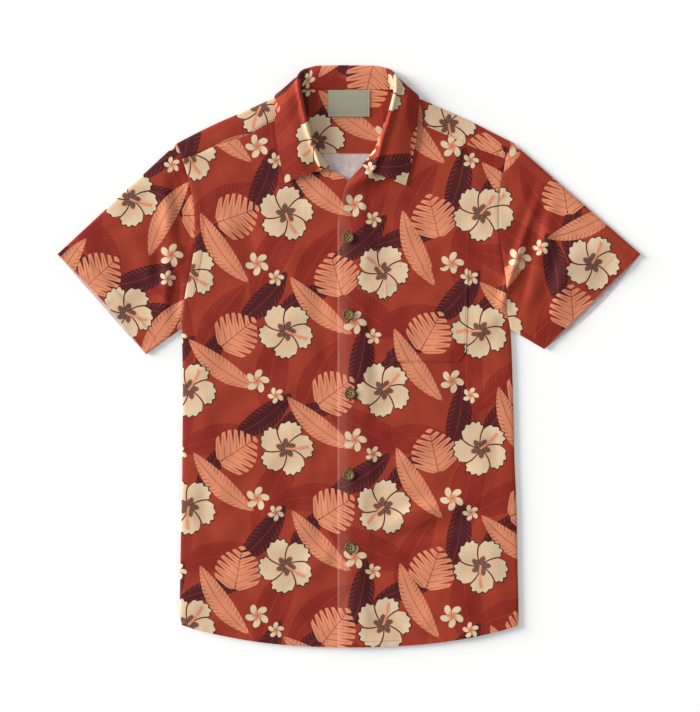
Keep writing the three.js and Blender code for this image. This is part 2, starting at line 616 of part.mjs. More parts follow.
function collarSection(rows, index) {
  const { seam, roll, tilt, bend, edge } = rows[index];
  const standing = tilt / 90;
  const top = new THREE.Vector3(...roll);
  const out = rollOutward(rows, index);
  const angle = THREE.MathUtils.degToRad(tilt);
  const crown = out.clone().multiplyScalar(Math.cos(angle)).setZ(Math.sin(angle));
  const across = out.clone().multiplyScalar(Math.sin(angle)).setZ(-Math.cos(angle));
  const depth = lerp(ROLL_DEPTH.flat, ROLL_DEPTH.standing, standing);
  const half = lerp(ROLL_HALF_WIDTH.flat, ROLL_HALF_WIDTH.standing, standing);
  const standEnd = top.clone().addScaledVector(crown, -depth).addScaledVector(across, -half);
  const fallStart = top.clone().addScaledVector(crown, -depth).addScaledVector(across, half);
  const onTop = seam[0] < 0 ? upperHeight : overHeight;
  const flatFoot = lowerHeight(seam) + SEAM_STAND.flat;
  const standingFoot = onTop(seam) + SEAM_STAND.standing;
  const seamHeight = lerp(flatFoot, standingFoot, smooth(tilt / STANDS_FULLY_AT));
  const foot = new THREE.Vector3(seam[0], seam[1], seamHeight);
  const clear = (spot) => {
    const under = spot[2] < HALF_LOFT + COLLAR_LIFT.height;
    return under ? spot[2] : Math.max(spot[2], onTop(spot) + FREE_EDGE_CLEAR);
  };
  const middle = new THREE.Vector3(bend[0], bend[1], clear(bend));
  const free = new THREE.Vector3(edge[0], edge[1], clear(edge));
  const corners = [foot, standEnd, top, fallStart, middle, free];
  const curve = new THREE.CatmullRomCurve3(corners, false, 'centripetal');
  return COLLAR_SAMPLES.map((part) => curve.getPoint(part));
}

function collarSurface() {
  const rows = [...[...COLLAR_LEFT].reverse(), ...COLLAR_RIGHT];
  const sections = rows.map((_, index) => collarSection(rows, index));
  const grid = COLLAR_SAMPLES.map((_, sample) => {
    const line = sections.map((section) => section[sample]);
    const curve = new THREE.CatmullRomCurve3(line, false, 'centripetal');
    const steps = (rows.length - 1) * COLLAR_STEPS_BETWEEN;
    return range(steps + 1).map((step) => curve.getPoint(step / steps));
  });
  const surface = new Surface();
  const onTable = (z) => Math.max(z, COLLAR_CLOTH / 2);
  const placed = grid.map((line) => line.map(({ x, y, z }) => surface.points.push([x, y, onTable(z)]) - 1));
  surface.addCells(placed, false);
  return surface;
}

// Pieces laid on a panel: the panel's own cells moved out, cut to an outline seen from above

const wasm = await Module();
wasm.setup();

function solidOf(geometry) {
  const bare = geometry.clone();
  bare.deleteAttribute('normal');
  bare.deleteAttribute('uv');
  const merged = mergeVertices(bare, 1e-4);
  return new wasm.Manifold(new wasm.Mesh({
    numProp: 3,
    vertProperties: new Float32Array(merged.attributes.position.array),
    triVerts: new Uint32Array(merged.index.array),
  }));
}

function geometryOf(solid) {
  const mesh = solid.getMesh();
  const geometry = new THREE.BufferGeometry();
  geometry.setAttribute('position', new THREE.BufferAttribute(mesh.vertProperties, 3));
  geometry.setIndex(new THREE.BufferAttribute(mesh.triVerts, 1));
  return geometry;
}

function laidOn(surface, outline, thickness, lowest = CLOTH / 2 + SEAM_GAP) {
  const slab = solidOf(wall(surface, lowest, lowest + thickness, 0));
  const shape = new THREE.Shape(outline.map(([x, y]) => new THREE.Vector2(x, y)));
  const cutter = solidOf(new THREE.ExtrudeGeometry(shape, { depth: CUTTER_HEIGHT, bevelEnabled: false }));
  return geometryOf(slab.intersect(cutter));
}

function pocketOutline({ left, right, top, bottom, cutAcross, cutUp, cutBow, lean }) {
  const lowerRight = right - lean;
  return [[left, top], [left, bottom + cutUp], [left + cutAcross / 2, bottom + cutBow],
    [left + cutAcross, bottom], [lowerRight - cutAcross, bottom], [lowerRight, bottom + cutUp], [right, top]];
}

function labelOutline({ left, right, top, bottom }) {
  return [[left, bottom], [right, bottom], [right, top], [left, top]];
}

// A button: a disc with a raised rim, a shallow dish and four thread holes

function buttonGeometry() {
  const { radius, thick, rimWidth, rimHeight, round, rimSlope } = BUTTON;
  const { turn, sides, holeRadius, holeOffset, holeSides } = BUTTON;
  const dish = radius - rimWidth;
  const face = thick - rimHeight;
  const profile = [[0, 0], [radius - round, 0], [radius, round], [radius, thick - round],
    [radius - round, thick], [dish + rimSlope, thick], [dish - rimSlope, face], [0, face]];
  const disc = new THREE.LatheGeometry(profile.map(([x, y]) => new THREE.Vector2(x, y)), sides);
  disc.rotateX(Math.PI / 2);
  let solid = solidOf(disc);
  for (const quarter of range(4)) {
    const angle = THREE.MathUtils.degToRad(turn) + quarter * Math.PI / 2;
    const reach = holeOffset * Math.SQRT2;
    const hole = new THREE.CylinderGeometry(holeRadius, holeRadius, CUTTER_HEIGHT, holeSides);
    hole.rotateX(Math.PI / 2);
    hole.translate(Math.cos(angle) * reach, Math.sin(angle) * reach, 0);
    solid = solid.subtract(solidOf(hole));
  }
  return geometryOf(solid);
}

// The shirt

const shirt = new THREE.Group();

function addPiece(name, geometry, finish, place = [0, 0, 0]) {
  const mesh = new THREE.Mesh(geometry, new THREE.MeshStandardMaterial({ ...FINISHES[finish], name: finish }));
  mesh.name = name;
  mesh.position.set(...place);
  shirt.add(mesh);
}

const under = frontSurface('left', upperHeight);
const over = frontSurface('right', overHeight);
const insideOfYoke = yokeInside();
const innerYokeTop = CLOTH / 2 + SEAM_GAP + CLOTH;

addPiece('back', wall(backSurface()), 'print');
addPiece('yoke_outer', wall(yokeSurface({ left: under.seam, right: over.seam })), 'print');
addPiece('yoke_inner', laidOn(insideOfYoke, INNER_YOKE, CLOTH), 'print');
addPiece('front_under', wall(under.surface), 'print');
addPiece('front_over', wall(over.surface), 'print');
addPiece('sleeve_left', wall(sleeveSurface('left')), 'print');
addPiece('sleeve_right', wall(sleeveSurface('right')), 'print');
addPiece('collar', wall(collarSurface(), -COLLAR_CLOTH / 2, COLLAR_CLOTH / 2, 0), 'collar');
addPiece('pocket', laidOn(over.surface, pocketOutline(POCKET), POCKET_CLOTH), 'pocket');
addPiece('label', laidOn(insideOfYoke, labelOutline(LABEL), LABEL_CLOTH, innerYokeTop + SEAM_GAP), 'label');
BUTTON_CENTRES.forEach(([x, y], index) => {
  const rest = overHeight([x, y]) + CLOTH / 2 + SEAM_GAP;
  addPiece(`button_${index + 1}`, buttonGeometry(), 'button', [x, y, rest]);
});

export default shirt;
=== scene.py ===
"""Dresses a short-sleeved hawaiian shirt that lies flat on a white floor, seen from straight above.

The cloth is modelled in millimetres from the same plan as the solids, then written in metres.
X runs to the viewer's right, Y towards the collar and Z up off the floor.
"""

import math

import bpy
import bmesh
import numpy as np
from bpy.props import FloatProperty, FloatVectorProperty, PointerProperty
from mathutils import Matrix, Vector


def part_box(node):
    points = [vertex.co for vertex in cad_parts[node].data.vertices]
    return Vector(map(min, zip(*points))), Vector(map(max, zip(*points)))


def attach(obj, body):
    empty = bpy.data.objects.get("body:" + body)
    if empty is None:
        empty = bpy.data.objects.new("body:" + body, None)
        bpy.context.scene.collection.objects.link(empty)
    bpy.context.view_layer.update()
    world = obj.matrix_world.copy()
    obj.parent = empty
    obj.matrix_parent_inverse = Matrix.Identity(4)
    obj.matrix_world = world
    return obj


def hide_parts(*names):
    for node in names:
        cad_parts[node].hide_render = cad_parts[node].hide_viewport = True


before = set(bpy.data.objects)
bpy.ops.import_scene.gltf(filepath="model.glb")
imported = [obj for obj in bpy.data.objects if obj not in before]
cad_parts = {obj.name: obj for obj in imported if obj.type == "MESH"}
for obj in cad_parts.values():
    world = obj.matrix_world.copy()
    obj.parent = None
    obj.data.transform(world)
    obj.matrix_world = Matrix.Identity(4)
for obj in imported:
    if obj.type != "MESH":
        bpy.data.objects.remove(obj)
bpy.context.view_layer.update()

bl_info = {
    "name": "Flat hawaiian shirt",
    "version": (1, 0, 0),
    "blender": (4, 5, 0),
    "location": "View3D > Sidebar > Shirt",
    "description": "Makes the cloth, buttons, stitching and stage of a shirt laid flat",
    "category": "Object",
}

MM = 0.001
BODY = "root"

# The plan of the shirt, as the solids have it

SIDE = {
    "left": [(-233.2, -373.4), (-235.2, -366), (-235.2, -277), (-233.6, -200), (-232.4, -100), (-232.6, 0),
             (-233.8, 39.2)],
    "right": [(236, -374.5), (236.6, -367), (235.2, -285), (233.8, -210), (231, -143), (229.6, -75),
              (226.8, 11), (225.2, 38)],
}
ARMHOLE = {
    "left": [(-233.8, 39.2), (-231.4, 66), (-227.6, 94), (-221.2, 122), (-216.6, 150), (-215.6, 178),
             (-217.3, 215), (-222, 235), (-227.6, 259), (-234.4, 279), (-240.8, 296.8)],
    "right": [(225.2, 38), (220.8, 62), (218.8, 109), (214.6, 135), (210.3, 165), (208.9, 194),
              (209.6, 220), (212.4, 240), (215.4, 256), (219.6, 280), (228.5, 298.2)],
}
SHOULDER = {
    "left": [(-240.8, 296.8), (-208.6, 313.6), (-180.6, 327), (-152.6, 339), (-124.6, 351.4), (-100, 361.4),
             (-74, 368)],
    "right": [(228.5, 298.2), (197.4, 313.6), (169.4, 328), (141.4, 340.4), (113.4, 352.8), (92, 361.2),
              (68, 368)],
}
YOKE_SEAM = {
    "left": [(-233.2, 275.8), (-213, 281.6), (-193.8, 290.8), (-176.7, 296.6), (-144.5, 308), (-108, 327.4),
             (-64.7, 338)],
    "right": [(218.3, 276), (197.8, 283.2), (164.6, 295.6), (140, 307.2), (99.3, 324.4), (58.5, 338)],
}
NECK_BACK = [(-74, 368), (-40, 371), (-3, 372), (34, 371), (68, 368)]
NECKLINE = {
    "left": [(-64.7, 338), (-53.6, 302.5), (-42.5, 284.5), (-34, 269), (-25.8, 260.4), (-11.5, 253.6),
             (-1.7, 244), (14, 231)],
    "right": [(58.5, 338), (46.5, 309), (35, 283.5), (15.4, 261.8), (-1.4, 243.9)],
}
FRONT_EDGE = {
    "left": [(14, -406.8), (14, 0), (14, 231)],
    "right": [(-15.7, -406.3), (-15.7, 0), (-15.7, 150), (-15.2, 190), (-9.8, 218.4), (-6.6, 233),
              (-1.4, 243.9)],
}
CUFF = {
    "left": {"top": (-407.4, 142.1), "under": (-284.2, 2.8), "front": -4, "back": 0.6},
    "right": {"top": (407.4, 142.1), "under": (273, 9.8), "front": 0, "back": 8},
}
BACK_YOKE_SEAM_Y = 283.5
BACK_SEAM_BELOW_NECK = {"left": -80, "right": 74}
HEM_CENTRE, HEM_HALF, HEM_LOWEST, HEM_RISE, HEM_POWER = 3, 236, -406.8, 30.5, 2.4
HALF_LOFT = 2.2
SOLID_CLOTH = 1.2
OVERLAP_RISE, OVERLAP_EASE = 1.75, 26
COLLAR_LIFT = 2
FOLD_REACH = 6
FOLD_STEPS = np.array([0, 0.02, 0.07, 0.15, 0.27, 0.42, 0.6, 0.8, 1]) * FOLD_REACH
FRONT_NECK_PART = 8 / 12
ON_EDGE = 0.05

# Folds of the upper cloth: from and to in plan, how far the middle bends sideways, height and half width.
# Those of the solids come first, then smaller ones.

FOLDS = [
    (-246, 262, -225, 132, 6, -2.6, 11), (-300, 215, -262, 70, -8, 1.6, 16),
    (262, 262, 221, 92, 10, -3.2, 12), (282, 235, 243, 60, 8, 2.2, 12), (300, 190, 262, 42, 4, -1.8, 11),
    (-143, 205, -139, 100, 3, -1.5, 12), (62, 232, 58, 130, -4, -1.4, 14), (-125, 0, -68, 62, 5, 1.8, 14),
    (-154, -98, -68, -42, 6, 1.6, 14), (30, -250, 184, -202, 8, 2.6, 13), (34, -274, 176, -236, 8, -2, 12),
    (-70, -322, -12, -272, 5, 1.5, 12), (-210, -345, -98, -392, -6, -1.6, 14),
    (126, -342, 186, -372, 4, 1.6, 12),
]
SMALL_FOLDS = [
    (269, 240, 212, 70, 0, 3.2, 6.5), (283, 236, 230, 70, 0, -2, 7), (238, 150, 212, 66, 0, 2, 5.5),
    (-262, 252, -250, 150, 2, 1.9, 9), (-238, 250, -229, 130, 1, -1.8, 7),
    (-268, 158, -268, 104, 1, -1.2, 8), (-254, 146, -257, 54, 1, 1.7, 8), (-241, 122, -245, 42, 1, -1.7, 7),
    (300, 150, 286, 60, 4, 1.2, 9), (48, -236, 150, -208, 8, 1.2, 8), (52, -262, 150, -240, 8, -1.2, 7),
    (34, 225, 24, 190, -3, -1.2, 7), (-196, 250, -168, 130, 8, 0.9, 16), (-176, 60, -150, -60, -6, -0.8, 18),
    (-214, 10, -196, -130, 3, 0.7, 12), (-206, -150, -188, -290, -4, -0.7, 14),
    (-120, -150, -60, -230, 7, -0.8, 16), (-90, 180, -60, 60, -4, 0.8, 15),
    (-46, 110, -34, -40, 3, -0.6, 11), (-44, -120, -36, -300, -3, -0.6, 10),
    (150, 20, 176, -60, -6, -0.9, 16), (176, -96, 120, -196, 6, -0.8, 18),
    (-100, 60, -130, -60, 6, -0.8, 18), (-90, -190, -140, -280, -6, 0.9, 17),
    (40, -40, 64, -130, 4, -0.9, 14), (28, 60, 36, -90, 3, -0.7, 9), (24, -110, 32, -200, 2, 0.7, 8),
    (26, -290, 34, -380, -2, -0.6, 9), (108, -60, 200, -10, -8, -0.8, 15), (60, -130, 160, -100, 6, 0.8, 15),
    (196, -60, 206, -220, 4, -0.8, 13), (180, -240, 214, -330, 3, 0.8, 12),
    (60, -320, 110, -380, 6, -0.9, 14), (-60, -350, -20, -398, 4, -0.8, 10),
    (-160, -300, -110, -350, 5, 0.9, 14), (90, 290, 190, 230, 10, 0.8, 16),
    (150, 200, 190, 140, -5, -0.7, 14), (-330, 170, -270, 40, 8, -1.1, 15),
    (-370, 150, -300, 60, -8, 0.8, 16), (-300, 230, -250, 200, 4, -0.8, 12),
    (330, 180, 290, 60, -6, 0.9, 15), (372, 140, 322, 70, 5, -0.8, 14), (250, 130, 238, 60, 2, -1.6, 6),
    (-238, 110, -262, 50, 3, -1.2, 7), (-226, 60, -180, 20, 5, 0.8, 10), (220, 60, 176, 20, -5, 0.8, 10),
    (-230, -20, -180, 0, 4, -0.6, 9), (226, -30, 180, -6, -4, -0.6, 9),
]
LAPEL_RIDGE = [(31, 253.5), (21.8, 247.5), (8, 241.5), (-3, 236), (-9, 218), (-15, 186)]
LAPEL_HEIGHT, LAPEL_WIDTH, LAPEL_TAPER = 4, 8, 70
LAPEL_VALLEY = [(44, 238), (30, 228), (14, 222), (4, 205), (0, 180)]
LAPEL_VALLEY_DEPTH, LAPEL_VALLEY_WIDTH = 0.9, 10

# The collar's stations, from the back of the neck to the point of a leaf:
# seam x, y; roll x, y, z; tilt; bend x, y, z; edge x, y, z

COLLAR = {
    "left": [
        (-30, 373, -30, 405.6, 3.7, 0, -31, 385, 0.75, -33, 361, 0.75),
        (-54, 372.4, -50, 404.6, 4, 6, -55, 385, 0.75, -62, 360.5, 0.75),
        (-68, 371.6, -64, 399.6, 6, 25, -76, 386, 1.3, -86, 360, 0.75),
        (-72.4, 367.4, -71.4, 390, 11, 55, -90, 374, 5.6, -101, 366, 2.4),
        (-71.8, 361, -71.6, 376, 17, 84, -89, 364, 13.4, -104.4, 356, 9.4),
        (-67, 347.6, -67.6, 357, 20, 90, -85, 350, 16, -103, 342, 9.6),
        (-58.4, 321, -60.2, 323, 19, 90, -80, 320, 14.4, -103.4, 316, 8.6),
        (-49.6, 298, -52.6, 299, 17, 90, -73, 293, 13, -98.8, 288, 8),
        (-38, 278.4, -45.4, 279, 14.6, 88, -67.6, 270, 11.6, -93.8, 263, 7.8),
        (-27.4, 264.4, -38.6, 259.6, 11.6, 86, -62, 252.6, 10, -89, 241.5, 7.4),
    ],
    "right": [
        (24, 373, 24, 405.6, 3.7, 0, 25, 385, 0.75, 27, 361, 0.75),
        (48, 372.4, 44, 404.6, 4, 6, 49, 385, 0.75, 56, 360.5, 0.75),
        (62, 371.6, 58, 399.6, 6, 25, 70, 386, 1.3, 80, 360, 0.75),
        (66.4, 367.4, 65.4, 390, 11, 55, 84, 374, 5.6, 94.4, 366, 2.4),
        (65.8, 361, 66.6, 374, 17, 84, 83, 364, 13.4, 98, 356, 9.4),
        (59.4, 344.6, 61.8, 350, 20, 90, 78.4, 345, 16, 96.2, 338, 9.6),
        (48.4, 317, 54, 322, 19, 90, 72.4, 316, 14.4, 95, 310, 8.6),
        (38, 293.6, 46, 298, 17.4, 90, 64.6, 291, 13.4, 90, 284, 8),
        (28.6, 278, 41, 279, 15.6, 88, 60, 271, 12.4, 85.2, 262, 8),
        (18, 266.6, 31.4, 256.4, 14.4, 86, 54, 247.6, 11.4, 79.1, 238, 7.4),
    ],
}
COLLAR_LOWEST = 0.75
SEAM_STAND, FREE_EDGE_CLEAR, COLLAR_ON_YOKE = 1.4, 1.9, 1.85

# Small pieces

POCKET = {"left": 50.4, "right": 165.9, "top": 123.4, "bottom": -8.4, "cut": (10, 15), "lean": 2.5}
LABEL = {"left": -29.4, "right": 28.6, "top": 371.4, "bottom": 334.6}
INNER_YOKE = {"left": -65, "right": 59, "bottom": 283.8, "top_side": 373.6, "top_middle": 375.2}
INNER_YOKE_TUCK, INNER_YOKE_TUCKED = 0.72, 5
BUTTONS = [(-1.2, 165.3), (-0.7, 57.5), (1.5, -52.5), (-0.1, -165.9), (2, -267.4)]


def measure(name, text, default):
    """A property that holds a length, with its default in mm."""
    return FloatProperty(name=name, description=text, default=default * MM, unit="LENGTH")


class ShirtSizes(bpy.types.PropertyGroup):
    """Sizes of the cloth, the thread and the mesh."""

    cloth: measure("Cloth", "Thickness of a wall of cloth", 0.7)
    collar: measure("Collar", "Thickness of the collar", 1.3)
    step: measure("Step", "Spacing of the cloth's mesh", 3.6)
    stitch: measure("Stitch", "Length of one stitch", 2.4)
    thread: measure("Thread", "Thickness of the thread", 0.34)
    button: measure("Button", "Diameter of a button", 16)
    motif: measure("Motif", "Radius of the largest flower", 38)


def colour(name, text, default):
    return FloatVectorProperty(name=name, description=text, default=default, subtype="COLOR", size=3, min=0,
                               max=1)


class ShirtColours(bpy.types.PropertyGroup):
    """Colours of the print, the inside, the thread, the label, the buttons and the floor."""

    ground: colour("Ground", "Rust red of the cloth", (0.355, 0.045, 0.021))
    ground_deep: colour("Deep ground", "Darker red in the ground", (0.235, 0.018, 0.012))
    cream: colour("Cream", "Flowers", (0.70, 0.55, 0.36))
    peach: colour("Peach", "Large leaves", (0.70, 0.255, 0.135))
    maroon: colour("Maroon", "Dark leaves", (0.062, 0.010, 0.014))
    reverse: colour("Reverse", "Wrong side of the cloth", (0.75, 0.63, 0.61))
    thread: colour("Thread", "Sewing thread", (0.28, 0.04, 0.022))
    button_thread: colour("Button thread", "Thread in the buttons' holes", (0.018, 0.012, 0.008))
    label: colour("Label", "Neck label", (0.345, 0.325, 0.235))
    button_face: colour("Button face", "Polished middle of a button", (0.30, 0.18, 0.045))
    button_rim: colour("Button rim", "Dark rim of a button", (0.06, 0.042, 0.018))
    floor: colour("Floor", "Pale floor", (0.90, 0.90, 0.90))


# Curves in plan and in space

def smooth(part):
    held = np.clip(part, 0, 1)
    return held * held * (3 - 2 * held)


def lerp(start, end, part):
    return start + (end - start) * part


def spline(points, steps):
    """A centripetal curve through points, with this many steps between each two of them."""
    knots = np.asarray(points, float)
    padded = np.vstack([2 * knots[0] - knots[1], knots, 2 * knots[-1] - knots[-2]])
    gaps = np.linalg.norm(np.diff(padded, axis=0), axis=1) ** 0.5
    pieces = []
    part = np.arange(steps)[:, None] / steps
    for index in range(len(knots) - 1):
        before, start, end, after = padded[index:index + 4]
        lead, span, trail = np.maximum(gaps[index:index + 3], 1e-4)
        leave = span * ((start - before) / lead - (end - before) / (lead + span) + (end - start) / span)
        arrive = span * ((end - start) / span - (after - start) / (span + trail) + (after - end) / trail)
        square, cube = part ** 2, part ** 3
        pieces.append(start + leave * part + (3 * (end - start) - 2 * leave - arrive) * square
                      + (2 * (start - end) + leave + arrive) * cube)
    return np.vstack([*pieces, knots[-1:]])


def reach_along(path):
    """How far along a path each of its points is."""
    return np.concatenate([[0], np.cumsum(np.linalg.norm(np.diff(path, axis=0), axis=1))])


class Line:
    """A smooth curve that is asked by the part of its length."""

    def __init__(self, points):
        self.points = spline(points, 40)
        self.reach = reach_along(self.points)
        self.length = self.reach[-1]

    def at(self, parts):
        distance = np.clip(parts, 0, 1) * self.length
        return np.stack([np.interp(distance, self.reach, axis) for axis in self.points.T], axis=-1)

    def part_at_y(self, y):
        return np.interp(y, self.points[:, 1], self.reach) / self.length


SIDES = ("left", "right")
side_line, armhole_line, shoulder_line, yoke_line, neckline, edge_line = (
    {side: Line(points[side]) for side in SIDES}
    for points in (SIDE, ARMHOLE, SHOULDER, YOKE_SEAM, NECKLINE, FRONT_EDGE))
neck_back_line = Line(NECK_BACK)


def distance_to(points, line, within=60):
    """The distance from each point to a line of plan points, and how far along the line it is nearest.

    Points farther than a margin from the line's box are only known to be at least that far away.
    """
    flat = points.reshape(-1, 2)
    inside = np.all((flat > line.min(axis=0) - within) & (flat < line.max(axis=0) + within), axis=1)
    near = flat[inside]
    best = np.full(len(near), float(within))
    where = np.zeros(len(near))
    for index, (origin, step) in enumerate(zip(line[:-1], np.diff(line, axis=0))):
        offset = near - origin
        part = np.clip(offset @ step / max(step @ step, 1e-9), 0, 1)
        gap = np.hypot(offset[:, 0] - part * step[0], offset[:, 1] - part * step[1])
        nearer = gap < best
        best[nearer] = gap[nearer]
        where[nearer] = (index + part[nearer]) / (len(line) - 1)
    gaps, places = np.full(len(flat), float(within)), np.zeros(len(flat))
    gaps[inside], places[inside] = best, where
    return gaps.reshape(points.shape[:-1]), places.reshape(points.shape[:-1])


CLOSED_EDGES = []
for half in SIDES:
    CLOSED_EDGES += [side_line[half].at(np.linspace(0, 1, 41)), shoulder_line[half].at(np.linspace(0, 1, 41)),
                     np.array([armhole_line[half].at(1), CUFF[half]["top"]]),
                     np.array([armhole_line[half].at(0), CUFF[half]["under"]])]


def edge_distance(points):
    return np.min([distance_to(points, line)[0] for line in CLOSED_EDGES], axis=0)


def fullness(distance):
    short = 1 - np.minimum(distance, FOLD_REACH) / FOLD_REACH
    return np.sqrt(np.maximum(0, 1 - short * short))


def collar_lift(points):
    across = np.abs(points[..., 0] + 3)
    return COLLAR_LIFT * smooth((points[..., 1] - 332) / 20) * smooth((132 - across) / 20)


def fold_sum(points, folds):
    total = np.zeros(points.shape[:-1])
    for x0, y0, x1, y1, bend, height, width in folds:
        along = np.array([x1 - x0, y1 - y0]) / math.hypot(x1 - x0, y1 - y0)
        middle = ((x0 + x1) / 2 - along[1] * bend, (y0 + y1) / 2 + along[0] * bend)
        line = Line([(x0, y0), middle, (x1, y1)]).at(np.linspace(0, 1, 13))
        gap, where = distance_to(points, line, 3 * width)
        total += height * np.sin(math.pi * np.clip(where, 0.08, 0.92)) * np.exp(-(gap / width) ** 2)
    return total


RUMPLES = [(0.021, 0.013, 0.4, 0.30), (-0.017, 0.026, 1.9, 0.26), (0.034, -0.019, 4.1, 0.16),
           (0.011, -0.039, 2.6, 0.14), (0.052, 0.031, 5.2, 0.07)]


def rumple(points):
    """The slight unevenness of pressed cloth, as a few crossing waves."""
    x, y = points[..., 0], points[..., 1]
    return sum(height * np.sin(2 * math.pi * (a * x + b * y) / 1.6 + phase + 1.4 * np.sin(0.013 * (x - y)))
               for a, b, phase, height in RUMPLES)


def lower_height(points):
    """How high the middle of the lower cloth is above the floor."""
    return SOLID_CLOTH / 2 + HALF_LOFT * (1 - fullness(edge_distance(points))) + collar_lift(points)


SEAM_PUCKER, SEAM_PUCKER_PITCH, SEAM_PUCKER_REACH = 0.16, 10.5, 7
SEAM_DIP, SEAM_DIP_WIDTH = 0.5, 1.3
SMALL_FOLD_GAIN = 1.5
EDGE_SAG, EDGE_SAG_REACH = 0.8, 22
ROLLED_EDGE, ROLLED_EDGE_WIDTH = 1, 8.5
TOPSTITCH_INSET, TOPSTITCH_DIP, TOPSTITCH_WIDTH = 7, 0.22, 1.1
FELL_WIDTH, FELL_HEIGHT = 12, 0.32


def seam_relief(points, line, dip=SEAM_DIP):
    gap, where = distance_to(points, line.at(np.linspace(0, 1, 61)))
    ripple = np.sin(2 * math.pi * where * line.length / SEAM_PUCKER_PITCH + 1.7 * np.sin(where * 9))
    return (-dip * np.exp(-(gap / SEAM_DIP_WIDTH) ** 2)
            + SEAM_PUCKER * ripple * np.exp(-gap / SEAM_PUCKER_REACH))


def upper_height(points):
    """How high the middle of the upper cloth is above the floor, with its folds, seams and sagging edges."""
    edge = edge_distance(points)
    fade = smooth((edge - 2) / 26)
    off_placket = smooth((np.abs(points[..., 0] + 1) - 18) / 12)
    small = SMALL_FOLD_GAIN * fold_sum(points, SMALL_FOLDS) + rumple(points)
    soft = fold_sum(points, FOLDS) * off_placket + small * (0.25 + 0.75 * off_placket)
    seams = sum(seam_relief(points, line[side]) for line in (armhole_line, yoke_line) for side in SIDES)
    sag = EDGE_SAG * (1 - smooth(edge / EDGE_SAG_REACH)) * fullness(edge)
    height = (SOLID_CLOTH / 2 + HALF_LOFT * (1 + fullness(edge)) + collar_lift(points) + soft * fade - sag
              + seams * smooth(edge / 5))
    return np.maximum(height, lower_height(points) + 2 * SOLID_CLOTH * fullness(edge))


def over_height(points):
    """The same for the front that laps over, with its rolled lapel and pressed edge."""
    rise = OVERLAP_RISE * (1 - smooth((points[..., 0] - FRONT_EDGE["left"][0][0] - 2) / OVERLAP_EASE))
    gap, _ = distance_to(points, Line(LAPEL_RIDGE).at(np.linspace(0, 1, 25)))
    taper = smooth((points[..., 1] - (LAPEL_RIDGE[0][1] - LAPEL_TAPER)) / LAPEL_TAPER)
    valley, _ = distance_to(points, Line(LAPEL_VALLEY).at(np.linspace(0, 1, 25)))
    lapel = LAPEL_HEIGHT * taper * np.exp(-(gap / LAPEL_WIDTH) ** 2)
    dip = LAPEL_VALLEY_DEPTH * np.exp(-(valley / LAPEL_VALLEY_WIDTH) ** 2)
    inward, _ = distance_to(points, edge_line["right"].at(np.linspace(0, 1, 61)))
    roll = ROLLED_EDGE * np.clip(1 - inward / ROLLED_EDGE_WIDTH, 0, 1)
    roll += TOPSTITCH_DIP * np.exp(-((inward - TOPSTITCH_INSET) / TOPSTITCH_WIDTH) ** 2)
    return upper_height(points) + rise + lapel - dip - roll


def felled_strip(points, side):
    """The seam allowance sewn down inside the armhole lifts a strip of the front."""
    gap, _ = distance_to(points, armhole_line[side].at(np.linspace(0, 1, 61)))
    strip = FELL_HEIGHT * smooth((FELL_WIDTH - gap) / 1.6)
    return (strip - 0.25 * np.exp(-((gap - FELL_WIDTH) / 1.1) ** 2)) * smooth(edge_distance(points) / 8)


# Meshes

def grid_faces(rows, columns, start=0):
    index = start + np.arange(rows * columns).reshape(rows, columns)
    return np.stack([index[:-1, :-1], index[:-1, 1:], index[1:, 1:], index[1:, :-1]], axis=-1).reshape(-1, 4)


def turned(points, faces, up):
    """Faces whose order gives normals that point up, or down."""
    a, b, c, d = (points[faces[:, corner]] for corner in range(4))
    area = np.cross(c[:, :2] - a[:, :2], d[:, :2] - b[:, :2]).sum()
    return faces if (area > 0) == up else faces[:, ::-1]


def joined_patches(patches):
    """Patches of (points, cloth coordinates, faces) as one mesh. Points that coincide are joined."""
    points = np.vstack([points for points, _, _ in patches])
    cloth = np.vstack([cloth for _, cloth, _ in patches])
    offsets = np.cumsum([0] + [len(points) for points, _, _ in patches])
    faces = np.vstack([face + offset for (_, _, face), offset in zip(patches, offsets)])
    _, first, places = np.unique(np.round(points, 3), axis=0, return_index=True, return_inverse=True)
    return points[first], cloth[faces], places.reshape(-1)[faces]


def vertex_normals(points, faces):
    a, b, c, d = (points[faces[:, corner]] for corner in range(4))
    across = np.cross(c - a, d - b)
    normals = np.zeros_like(points)
    for corner in range(4):
        np.add.at(normals, faces[:, corner], across)
    return normals / np.maximum(np.linalg.norm(normals, axis=1, keepdims=True), 1e-12)


def open_edges(faces):
    """Which edges belong to one face only, as (face, corner)."""
    following = np.roll(faces, -1, axis=1)
    low, high = np.minimum(faces, following), np.maximum(faces, following)
    keys = low.astype(np.int64) * (faces.max() + 1) + high
    _, places, counts = np.unique(keys, return_inverse=True, return_counts=True)
    return np.argwhere(counts[places.reshape(keys.shape)] == 1)


SHARP_RIM = math.radians(50)


